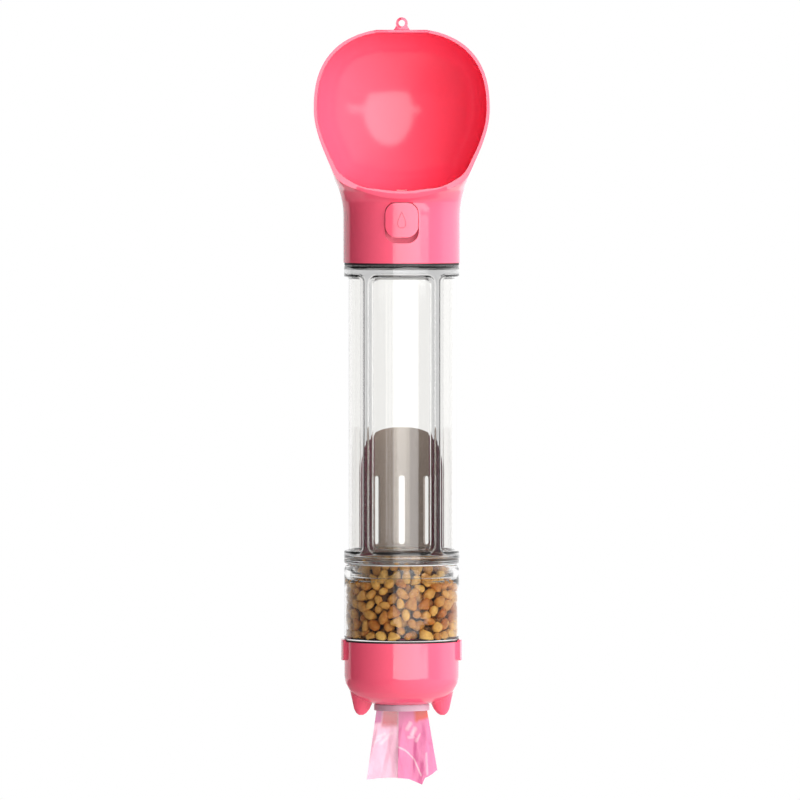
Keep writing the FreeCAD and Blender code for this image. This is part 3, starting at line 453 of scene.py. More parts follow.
@dataclass(frozen=True)
class Film(Finish):
    """Thin coloured bag film: tinted per point with painted crease highlights, glossy, and partly
    see-through.
    """

    tint_attribute: str = "film_tint"
    alpha: float = 0.88
    drift: float = 0.05
    drift_scale: float = 140.0
    roughness: float = 0.12
    haze: float = 1.6
    crinkle: Triple = (160.0, 3.0, 0.55)
    crinkle_depth: float = 0.5
    crinkle_height: float = 0.6 * MM

    def fill(self, sheet: NodeSheet, shader: bpy.types.Node, groups: SharedGroups) -> None:
        """Adds this finish's own nodes."""
        tint = sheet.add("ShaderNodeAttribute", attribute_name=self.tint_attribute)
        tone = sheet.drift(groups.drift, tint.outputs["Color"], self.drift, self.drift_scale)
        sheet.feed(shader.inputs["Base Color"], tone)
        crinkle = sheet.noise(*self.crinkle)
        sheet.roughen(shader, crinkle, self.roughness, self.roughness * self.haze)
        shader.inputs["Alpha"].default_value = self.alpha
        sheet.bump(shader, crinkle, self.crinkle_depth, self.crinkle_height)


PINK: Colour = (0.97, 0.105, 0.19)


def pink_plastic(name: str, colour: Colour = PINK, **rest: Any) -> Moulded:
    """A finish of the pink mouldings, finely grained and almost even in tone."""
    return Moulded(name, colour, grain_scale=900, drift=0.02, drift_scale=400, **rest)


FINISHES: tuple[Finish, ...] = (
    pink_plastic("gloss_pink", roughness=0.08, grain_depth=0.01),
    # The dish's second colour is painted shade: deeper and redder towards its right side.
    pink_plastic("dish_pink", (1.0, 0.115, 0.2), roughness=0.16, far_colour=(1.0, 0.045, 0.1)),
    # Painted light: a paler pink that brightens the shaded recess under the button.
    pink_plastic("recess_painted_light", (1.0, 0.27, 0.38), roughness=0.6),
    pink_plastic("button_pink", roughness=0.11),
    # Painted shade: the drop mark is the shell's pink darkened to stand for the shadow along its edges.
    Moulded("mark_painted_shade", srgb(176, 40, 76), roughness=0.3, grain_scale=900, grain_depth=0.05),
    # The bottle's grey pillar tint is painted shade.
    Clear("bottle_clear", tint=(0.972, 0.968, 0.955), index=1.45, pillar_painted_shade=(0.79, 0.79, 0.79)),
    Clear("cup_clear", tint=(0.97, 0.965, 0.96), index=1.3),
    Moulded("black_rubber", srgb(28, 24, 26), roughness=0.55, grain_scale=1200, grain_depth=0.2),
    Moulded("milky_rubber", srgb(225, 225, 225), roughness=0.4, subsurface=0.3),
    Moulded("lilac_rubber", srgb(196, 158, 174), roughness=0.45, grain_scale=900, grain_depth=0.1),
    Moulded("inner_white", srgb(236, 232, 230), roughness=0.35),
    Moulded("spring_steel", (0.62, 0.62, 0.63), roughness=0.25, metallic=1.0, grain_scale=2000),
    Moulded("roll_film", srgb(236, 110, 160), roughness=0.35, grain_scale=900, grain_depth=0.25),
    Moulded("card", srgb(176, 150, 120), roughness=0.85, grain_scale=1500, grain_depth=0.5, drift=0.15),
    # The scoop's pale middle band is a painted reflection.
    PaintedReflectionBand("scoop_taupe_painted_reflection", srgb(160, 142, 130), srgb(118, 52, 68), srgb(186, 170, 156)),
    Baked("kibble_crust"),
    Film("bag_film_pink"),
)


@dataclass
class Workshop:
    """What every sub-assembly needs: the frame's nodes, the finishes and the way to add a piece."""

    nodes: dict[str, bpy.types.Object]
    finishes: dict[str, bpy.types.Material]
    merge_gap: float = 0.002 * MM
    least_edge: float = 0.001 * MM

    def dress(self, node: str, finish: str) -> None:
        """Gives a frame node one finish in all its slots.

        Args:
            node: The node's name.
            finish: The finish's name.
        """
        item = self.nodes[node]
        item.data.materials.clear()
        item.data.materials.append(self.finishes[finish])
        log.info("%s: dressed in %s", node, finish)

    def place(self, name: str, shape: bmesh.types.BMesh, finish: str, body: str, slot: str,
              stands_for: Sequence[str] = (), sharp_degrees: float = 35.0) -> bpy.types.Object:
        """Turns a bmesh into a piece that rides on a body.

        Args:
            name: The piece's name.
            shape: Its shape in metres, in the frame.
            finish: The finish's name.
            body: The body that it moves with.
            slot: The record's material slot; not used.
            stands_for: The frame nodes that it replaces.
            sharp_degrees: Edges bent more than this stay sharp.

        Returns:
            The new object.
        """
        mesh = bpy.data.meshes.new(name)
        shape.to_mesh(mesh)
        shape.free()
        for polygon in mesh.polygons:
            polygon.use_smooth = True
        mesh.set_sharp_from_angle(angle=math.radians(sharp_degrees))
        mesh.materials.append(self.finishes[finish])
        piece = bpy.data.objects.new(name, mesh)
        bpy.context.scene.collection.objects.link(piece)
        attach(piece, body)
        if stands_for:
            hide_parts(*stands_for)
        log.info("%s: %d faces on %s", name, len(mesh.polygons), body)
        return piece

    def joined_copy(self, node: str) -> bmesh.types.BMesh:
        """A copy of a node's triangles with their shared corners merged.

        Args:
            node: The node's name.

        Returns:
            The merged shape, its faces as they pointed.
        """
        shape = bmesh.new()
        shape.from_mesh(self.nodes[node].data)
        bmesh.ops.remove_doubles(shape, verts=shape.verts, dist=self.merge_gap)
        bmesh.ops.dissolve_degenerate(shape, edges=shape.edges, dist=self.least_edge)
        return shape

    def rounded_copy(self, node: str) -> bmesh.types.BMesh:
        """A joined copy whose turned walls are divided finely round the bottle's axis."""
        shape = self.joined_copy(node)
        turned = TurnedShading()
        for _ in range(turned.rounds):
            turned.divide(shape)
        return shape

    def polished(self, name: str, node: str, finish: str, body: str, slot: str,
                 sharp_degrees: float = 30.0) -> bpy.types.Object:
        """A smooth-shaded copy of a rigid node, which replaces it.

        Args:
            name: The piece's name.
            node: The node that is copied and replaced.
            finish: The finish's name.
            body: The body that it moves with.
            slot: The record's material slot; passed on to place, which does not use it.
            sharp_degrees: Edges bent more than this stay sharp.

        Returns:
            The new object.
        """
        piece = self.place(name, self.rounded_copy(node), finish, body, slot, (node,), sharp_degrees)
        TurnedShading(sharp_degrees).apply(piece.data)
        return piece


def give_normals(mesh: bpy.types.Mesh, pick: Callable[[Any, int], Vector | None]) -> None:
    """Sets a mesh's corner normals.

    Args:
        mesh: The mesh, changed in place.
        pick: Gives the normal for a polygon and one of its vertices, or nothing to leave it as it is.
    """
    normals = [Vector((0.0, 0.0, 0.0))] * len(mesh.loops)
    for polygon in mesh.polygons:
        for loop, corner in zip(polygon.loop_indices, polygon.vertices):
            normals[loop] = pick(polygon, corner) or normals[loop]
    mesh.normals_split_custom_set(normals)


@dataclass(frozen=True)
class TurnedShading:
    """Exact smooth normals for what is turned about the bottle's axis, whatever its triangles."""

    sharp_degrees: float = 30.0
    slack: float = 0.06
    rounds: int = 2
    widest_turn: float = 0.11
    least_radius: float = 2 * MM

    def divide(self, shape: bmesh.types.BMesh) -> None:
        """Halves each edge that spans a wide turn of a turned wall, with its middle on the true circle."""
        shape.faces.ensure_lookup_table()
        turned = {face for face in shape.faces if self._slope(face.calc_center_median(), face.normal)}
        for edge in list(shape.edges):
            if not any(face in turned for face in edge.link_faces):
                continue
            ends = [(math.hypot(c.co.x, c.co.y - AXIS_Y), math.atan2(c.co.y - AXIS_Y, c.co.x), c.co.z)
                    for c in edge.verts]
            span = (ends[1][1] - ends[0][1] + math.pi) % (2 * math.pi) - math.pi
            if abs(span) < self.widest_turn or min(ends[0][0], ends[1][0]) < self.least_radius:
                continue
            _, middle = bmesh.utils.edge_split(edge, edge.verts[0], 0.5)
            radius, turn = (ends[0][0] + ends[1][0]) / 2, ends[0][1] + span / 2
            middle.co = Vector((radius * math.cos(turn), AXIS_Y + radius * math.sin(turn),
                                (ends[0][2] + ends[1][2]) / 2))
        bmesh.ops.triangulate(shape, faces=[face for face in shape.faces if len(face.verts) > 3])
        shape.normal_update()

    def apply(self, mesh: bpy.types.Mesh) -> None:
        """Gives each corner on a turned surface the normal that the true surface has there."""
        slopes = [self._slope(polygon.center, polygon.normal) for polygon in mesh.polygons]
        around: dict[int, dict[Pair, float]] = {}
        for polygon, slope in zip(mesh.polygons, slopes):
            for corner in polygon.vertices if slope else ():
                areas = around.setdefault(corner, {})
                areas[slope] = areas.get(slope, 0.0) + polygon.area
        limit = math.cos(math.radians(self.sharp_degrees))

        def true_normal(polygon: bpy.types.MeshPolygon, corner: int) -> Vector | None:
            """The turned surface's normal, from the like slopes that meet at a corner."""
            slope = slopes[polygon.index]
            if slope is None:
                return None
            near = [(s, area) for s, area in around[corner].items()
                    if s[0] * slope[0] + s[1] * slope[1] > limit]
            out, up = sum(s[0] * area for s, area in near), sum(s[1] * area for s, area in near)
            place = mesh.vertices[corner].co
            radial = Vector((place.x, place.y - AXIS_Y, 0.0)).normalized()
            return (radial * out + Vector((0.0, 0.0, up))).normalized()

        give_normals(mesh, true_normal)

    def _slope(self, centre: Vector, normal: Vector) -> Pair | None:
        """How far a face's normal points out and up, or nothing where the face isn't turned."""
        radial = Vector((centre.x, centre.y - AXIS_Y, 0.0))
        if radial.length < MM:
            return None
        radial.normalize()
        aside = abs(radial.x * normal.y - radial.y * normal.x)
        if aside > self.slack:
            return None
        return round(radial.dot(normal), 2), round(normal.z, 2)


def divide_long(shape: bmesh.types.BMesh, wanted: Callable[[Sequence[Any]], Sequence[Any]],
                longest: float) -> None:
    """Halves the long edges of chosen faces, round after round.

    Args:
        shape: The shape, changed in place.
        wanted: Says for all faces at once which ones are chosen.
        longest: Edges up to this length stay whole.
    """
    for _ in range(DIVISION_ROUNDS):
        shape.faces.ensure_lookup_table()
        shape.edges.index_update()
        chosen = [face for face, mark in zip(shape.faces, wanted(shape.faces)) if mark]
        long = {edge for face in chosen for edge in face.edges if edge.calc_length() > longest}
        bmesh.ops.subdivide_edges(shape, edges=sorted(long, key=lambda edge: edge.index), cuts=1)
        bmesh.ops.triangulate(shape, faces=[face for face in shape.faces if len(face.verts) > 3])
        shape.normal_update()


def round_off(share: np.ndarray, power: Any) -> np.ndarray:
    """How wide a superellipse still is at a share of its height."""
    return np.maximum(1 - np.minimum(np.abs(share), 1.0) ** power, 0.0) ** (1 / power)


@dataclass
class HeadForm:
    """The head's form in millimetres: the bottle's axis is Z, its shoulder is at 0, the dish faces -Y."""

    axis_y: float = 31.1
    eye_rise: float = 125.6
    neck_radius: float = 30.4
    skirt_radius: float = 30.3
    skirt_top: float = 19.0
    neck_top: float = 26.0
    widest: float = 81.0
    half_width: float = 45.5
    rise: float = 42.0
    roundness: float = 2.45
    rim_y: float = -32.5
    rim_wall: float = 1.6
    lip_band: float = 2.3
    dish_depth: float = 30.0
    dish_wall: float = 2.2
    dish_roundness: float = 2.4
    dish_centre: float = 79.5
    lip_start: float = 32.6
    lip_run: float = 8.5
    lip_flare: float = 12.0
    square_start: float = 38.0
    square_run: float = 12.0
    squareness: float = 4.5
    recess_half: float = 9.2
    recess_low: float = 11.3
    recess_high: float = 33.3
    recess_back: float = -25.6
    crown_share: float = 0.98
    halvings: int = 40
    step: float = 0.02
    rim_slack: Pair = (0.05, 0.02)
    skirt_slack: Pair = (0.02, 0.03)
    recess_gap: float = 0.25
    settle_rounds: int = 3
    near: Pair = (0.9, 1.5)
    aligned: Pair = (0.8, 0.6)
    settle_foot: Pair = (42.0, 52.0)
    settle_top: Pair = (116.5, 120.0)
    middle_half: Pair = (43.0, 41.0)
    middle_share: Pair = (0.5, 0.85)
    longest_edge: float = 1.8 * MM
    merge_gap: float = 0.004 * MM
    sectors: int = 720
    reaches: np.ndarray = field(default_factory=lambda: np.zeros(0))

    def __post_init__(self) -> None:
        """Measures the dish's outline once for every half degree."""
        turns = np.arange(self.sectors) * (2 * math.pi / self.sectors)
        near, far = np.zeros(self.sectors), np.full(self.sectors, self.widest)
        for _ in range(self.halvings):
            radius = (near + far) / 2
            x, z = radius * np.cos(turns), self.dish_centre + radius * np.sin(turns)
            front = np.stack([x, np.full_like(x, self.rim_y), z], axis=1)
            inside = (self.outside(front) < 1) & (z < self.widest + self.rise * self.crown_share)
            near, far = np.where(inside, radius, near), np.where(inside, far, radius)
        self.reaches = near - self.rim_wall - self.lip_band * np.maximum(-np.sin(turns), 0.0) ** 3

    def places(self, corners: Sequence[Any]) -> np.ndarray:
        """Corners of a mesh in the form's own millimetres, one row each."""
        return np.array([corner.co[:] for corner in corners]) / MM + self.shift()

    def outside(self, places: np.ndarray) -> np.ndarray:
        """Below 1 inside the head's outer form, 1 on it and more outside."""
        x, y, z = places.T
        lean = smooth_step(self.neck_top, self.widest, z)
        middle = self.rim_y * lean
        above = z >= self.widest
        crown = (z - self.widest) / self.rise
        depth = self.dish_depth + self.dish_wall
        width = np.where(above, self.half_width * round_off(crown, self.roundness),
                         self.neck_radius + (self.half_width - self.neck_radius) * lean)
        back = np.where(above, self.rim_y + depth * round_off(crown, self.dish_roundness),
                        self.neck_radius + (self.rim_y + depth - self.neck_radius) * lean)
        flare = self.lip_flare * smooth_step(self.lip_start, self.lip_start + self.lip_run, z)
        squared = self.squareness * smooth_step(self.square_start, self.square_start + self.square_run, z)
        behind = y >= middle
        power = np.where(behind, 2 + (self.dish_roundness - 2) * lean, 2 + squared)
        reach = np.where(behind, back - middle, self.neck_radius + flare + middle)
        return (np.abs(x) / np.maximum(width, 0.1)) ** power \
            + (np.abs(y - middle) / np.maximum(reach, 0.1)) ** power

    def dish(self, places: np.ndarray) -> np.ndarray:
        """Below 1 in the dish's hollow, 1 on its surface and more in the wall."""
        y = places[:, 1]
        depth = np.maximum((y - self.rim_y) / self.dish_depth, 0.0)
        return self._aside(places) ** self.dish_roundness + depth ** self.dish_roundness

    def _aside(self, places: np.ndarray) -> np.ndarray:
        """How far places lie from the dish's middle, as a share of the way to its edge."""
        x, _, z = places.T
        turn = np.arctan2(z - self.dish_centre, x) / (2 * math.pi) % 1.0 * self.sectors
        first = turn.astype(int) % self.sectors
        share = turn % 1.0
        reach = self.reaches[first] * (1 - share) + self.reaches[(first + 1) % self.sectors] * share
        return np.hypot(x, z - self.dish_centre) / reach

    def dish_normals(self, places: np.ndarray) -> np.ndarray:
        """The dish's unit normals: an ellipsoid's in its middle, its own form's towards the edge."""
        _, own = self.gap_and_slope(self.dish, places)
        x, y, z = places.T
        middle = np.stack([x / self.middle_half[0] ** 2,
                           np.maximum(y - self.rim_y, 0.1) / self.dish_depth ** 2,
                           (z - self.dish_centre) / self.middle_half[1] ** 2], axis=1)
        middle /= np.linalg.norm(middle, axis=1)[:, None]
        share = smooth_step(*self.middle_share, self._aside(places))[:, None]
        mixed = middle * (1 - share) + own * share
        return mixed / np.linalg.norm(mixed, axis=1)[:, None]

    def gap_and_slope(self, form: Callable[[np.ndarray], np.ndarray], places: np.ndarray
                      ) -> tuple[np.ndarray, np.ndarray]:
        """How far places are outside a form, and the form's unit normal beside each.

        Args:
            form: Either outside or dish.
            places: The places, one row each.

        Returns:
            The gaps in millimetres and the normals.
        """
        steps = np.eye(3) * self.step
        slope = np.stack([form(places + step) - form(places - step) for step in steps], axis=1)
        slope /= 2 * self.step
        length = np.maximum(np.linalg.norm(slope, axis=1), 1e-6)
        return (form(places) - 1) / length, slope / length[:, None]

    def refine(self, shape: bmesh.types.BMesh) -> None:
        """Divides the long edges of the faces on the outer form and in the dish."""
        divide_long(shape, self._face_marks, self.longest_edge)
        self._settle(shape)

    def _face_marks(self, faces: Sequence[Any]) -> np.ndarray:
        """The mark of each face of a shape that is being built."""
        centres = np.array([face.calc_center_median()[:] for face in faces]) / MM + self.shift()
        return self._marks(centres, np.array([face.normal[:] for face in faces]))

    def _settle(self, shape: bmesh.types.BMesh) -> None:
        """Brings the bowl's corners from the flat facets between its sections onto the true form."""
        shape.faces.index_update()
        marks = self._face_marks(shape.faces)
        places = self.places(shape.verts)
        kinds = [{int(marks[face.index]) for face in corner.link_faces} for corner in shape.verts]
        on_rim = places[:, 1] < self.rim_y + self.rim_slack[0]
        heights = places[:, 2]
        weight = smooth_step(*self.settle_foot, heights) * (1 - smooth_step(*self.settle_top, heights))
        for mark, form in ((1, self.outside), (2, self.dish)):
            chosen = np.array([number for number, kind in enumerate(kinds)
                               if kind == {mark} or (kind == {mark, 0} and on_rim[number])])
            moved = places[chosen].copy()
            for _ in range(self.settle_rounds):
                gap, slope = self.gap_and_slope(form, moved)
                slope[on_rim[chosen], 1] = 0.0
                length = np.maximum(np.linalg.norm(slope, axis=1), 0.2)
                moved -= slope * (gap / length ** 2)[:, None]
            places[chosen] += (moved - places[chosen]) * weight[chosen, None]
        for corner, place in zip(shape.verts, places - self.shift()):
            corner.co = Vector(place) * MM

    def shift(self) -> np.ndarray:
        """What turns the frame's millimetres into the form's own."""
        return np.array([0.0, -self.axis_y, self.eye_rise])

    def _marks(self, centres: np.ndarray, facing: np.ndarray) -> np.ndarray:
        """1 for each face on the outer form, 2 for one in the dish and 0 for the rest.

        Args:
            centres: The faces' centres in the form's millimetres.
            facing: Their normals.

        Returns:
            One mark for each face.
        """
        outer, outward = self.gap_and_slope(self.outside, centres)
        inner, inward = self.gap_and_slope(self.dish, centres)
        on_outside = (np.abs(outer) < self.near[0]) & (np.sum(outward * facing, axis=1) > self.aligned[0])
        in_dish = (np.abs(inner) < self.near[1]) & (np.sum(-inward * facing, axis=1) > self.aligned[1])
        in_dish &= centres[:, 1] > self.rim_y + self.rim_slack[1]
        return np.where(in_dish, 2, np.where(on_outside, 1, 0))

    def shade(self, mesh: bpy.types.Mesh, dish_slot: int) -> None:
        """Gives a copy of the head the exact normals of its form, and the dish its own finish.

        Args:
            mesh: The copy's mesh.
            dish_slot: The material slot of the dish.
        """
        places = self.places(mesh.vertices)
        centres = np.array([polygon.center[:] for polygon in mesh.polygons]) / MM + self.shift()
        facing = np.array([polygon.normal[:] for polygon in mesh.polygons])
        marks = self._marks(centres, facing)
        _, outward = self.gap_and_slope(self.outside, places)
        slopes = (outward, -self.dish_normals(places))
        for polygon, mark in zip(mesh.polygons, marks):
            if mark == 2:
                polygon.material_index = dish_slot

        def form_normal(polygon: bpy.types.MeshPolygon, corner: int) -> Vector | None:
            """The form's normal where the polygon lies on it and faces that way."""
            kind = int(marks[polygon.index]) - 1
            if kind < 0 or float(np.dot(slopes[kind][corner], facing[polygon.index])) <= self.aligned[kind]:
                return None
            return Vector(slopes[kind][corner])

        give_normals(mesh, form_normal)

    def mark_recess(self, mesh: bpy.types.Mesh, slot: int) -> None:
        """Gives the walls and floor of the button's recess their own material slot, whose paler pink is
        painted light against the recess's shade.
        """
        for polygon in mesh.polygons:
            x, y, z = polygon.center / MM
            y, z = y - self.axis_y, z + self.eye_rise
            deep = math.hypot(x, y) < self.neck_radius - self.recess_gap
            beside = abs(x) < self.recess_half and self.recess_low < z < self.recess_high
            if deep and y < self.recess_back and beside:
                polygon.material_index = slot

    def flush_skirt(self, shape: bmesh.types.BMesh) -> None:
        """Brings the skirt out to the flare, so that no ledge shows between them."""
        for corner, place in zip(shape.verts, self.places(shape.verts)):
            reach = math.hypot(place[0], place[1])
            above, aside = place[2] - self.skirt_top, abs(reach - self.skirt_radius)
            if above < self.skirt_slack[0] and aside < self.skirt_slack[1]:
                out = self.neck_radius / reach
                flush = Vector((place[0] * out, place[1] * out + self.axis_y, place[2] - self.eye_rise))
                corner.co = flush * MM
        bmesh.ops.remove_doubles(shape, verts=shape.verts, dist=self.merge_gap)


@dataclass
class Head:
    """The drinking head: dish and skirt in one moulding, the button, and what is inside."""

    shop: Workshop
    body: str = "head"
    form: HeadForm = field(default_factory=HeadForm)
    mark_width: float = 6.0 * MM
    mark_height: float = 8.4 * MM
    mark_wire: float = 0.13 * MM
    mark_steps: int = 32
    mark_sides: int = 6
    crown_radius: float = 48.6 * MM
    neck_radius: float = 30.4 * MM
    button_grid: float = 1.2 * MM
    front_facing: float = 0.85
    shaded_facing: float = 0.9
    front_depth: Pair = (1.0 * MM, 2.5 * MM)
    inner_finishes: dict[str, str] = field(default_factory=lambda: {
        "thread_insert": "inner_white", "valve_body": "inner_white", "valve_bridge": "inner_white",
        "outlet_duct": "inner_white", "lock_slider": "inner_white", "valve_stem": "inner_white",
        "valve_plug": "black_rubber", "stem_oring": "black_rubber", "valve_spring": "spring_steel",
        "button_spring": "spring_steel"})

    def build(self) -> None:
        """Builds every piece of the head."""
        self._shell()
        self._button()
        self.shop.polished("gasket_ring", "neck_gasket", "black_rubber", "gasket", "black_rubber")
        for node, finish in self.inner_finishes.items():
            self.shop.dress(node, finish)

    def _shell(self) -> None:
        """The glossy moulding, with a satin dish and a button recess in a paler pink that is painted light.
        """
        shape = self.shop.joined_copy("bowl_shell")
        self.form.flush_skirt(shape)
        self.form.refine(shape)
        piece = self.shop.place("dish_and_skirt", shape, "gloss_pink", self.body, "pink_shell",
                                ("bowl_shell",))
        for finish in ("dish_pink", "recess_painted_light"):
            piece.data.materials.append(self.shop.finishes[finish])
        self.form.shade(piece.data, 1)
        self.form.mark_recess(piece.data, 2)

    def _button(self) -> None:
        """The press button with its water-drop mark."""
        low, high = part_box("push_button")
        front, centre_z = low.y, (low.z + high.z) / 2
        shape = self.shop.joined_copy("push_button")
        divide_long(shape, lambda faces: [face.normal.y < -self.front_facing for face in faces],
                    self.button_grid)
        for corner in shape.verts:
            share = 1.0 - float(smooth_step(*self.front_depth, corner.co.y - front))
            x = corner.co.x
            corner.co.y += share * (self._drop(x, self.neck_radius) - self._drop(x, self.crown_radius))
        piece = self.shop.place("press_button", shape, "button_pink", "button", "pink_shell",
                                ("push_button",))
        self._shade_front(piece.data)
        points = []
        for step in range(self.mark_steps):
            turn = 2 * math.pi * step / self.mark_steps
            x = self.mark_width / 2 * math.sin(turn) * math.sin(turn / 2) ** 1.5
            z = self.mark_height / 2 * math.cos(turn)
            y = front + self._drop(x, self.neck_radius) - self.mark_wire / 2
            points.append(Vector((x, y, centre_z + z)))
        mark = tube_loop(points, self.mark_wire, self.mark_sides)
        # The mark's darker pink is painted shade.
        self.shop.place("drop_mark", mark, "mark_painted_shade", "button", "pink_shell")

    @staticmethod
    def _drop(x: float, radius: float) -> float:
        """How far a round front lies behind its middle at a distance aside."""
        return radius - math.sqrt(radius * radius - x * x)

    def _shade_front(self, mesh: bpy.types.Mesh) -> None:
        """Gives the button's front the normals of the neck's curve."""
        def neck_normal(polygon: bpy.types.MeshPolygon, corner: int) -> Vector | None:
            """The neck's normal on the front, and nothing elsewhere."""
            if polygon.normal.y > -self.shaded_facing:
                return None
            aside = mesh.vertices[corner].co.x / self.neck_radius
            return Vector((aside, -math.sqrt(1 - aside * aside), 0.0))

        give_normals(mesh, neck_normal)


def around_axis(rings: Iterable[Callable[[float], Pair]], turns: Sequence[float], axis: Vector,
                datum: float) -> bmesh.types.BMesh:
    """A closed wall round an upright axis.

    Args:
        rings: Each ring as radius and height in millimetres by direction, from one end to the other.
        turns: The directions of the wall's columns in radians.
        axis: A point on the axis.
        datum: The height that the rings count from.

    Returns:
        The shape in metres.
    """
    shape = bmesh.new()
    rows = []
    for ring in rings:
        places = [(turn, *ring(turn)) for turn in turns]
        rows.append([shape.verts.new(Vector((axis.x + radius * MM * math.sin(turn),
                                             axis.y - radius * MM * math.cos(turn), datum + z * MM)))
                     for turn, radius, z in places])
    for lower, upper in zip(rows, rows[1:]):
        for number in range(len(turns)):
            after = (number + 1) % len(turns)
            shape.faces.new((lower[number], upper[number], upper[after], lower[after]))
    shape.faces.new(rows[0])
    shape.faces.new(reversed(rows[-1]))
    bmesh.ops.recalc_face_normals(shape, faces=shape.faces)
    return shape


def tube_loop(points: Sequence[Vector], radius: float, sides: int) -> bmesh.types.BMesh:
    """A closed tube through points.

    Args:
        points: The centre line, in order.
        radius: The tube's radius.
        sides: The sides of its section.

    Returns:
        The tube.
    """
    shape = bmesh.new()
    rings = []
    count = len(points)
    for number, point in enumerate(points):
        along = (points[(number + 1) % count] - points[number - 1]).normalized()
        out = along.cross(Vector((0, 1, 0))).normalized()
        up = along.cross(out)
        corners = []
        for side in range(sides):
            turn = 2 * math.pi * side / sides
            corners.append(shape.verts.new(point + (out * math.cos(turn) + up * math.sin(turn)) * radius))
        rings.append([shape.edges.new((corners[i], corners[(i + 1) % sides])) for i in range(sides)])
    for number in range(count):
        bmesh.ops.bridge_loops(shape, edges=rings[number] + rings[(number + 1) % count])
    bmesh.ops.recalc_face_normals(shape, faces=shape.faces)
    return shape


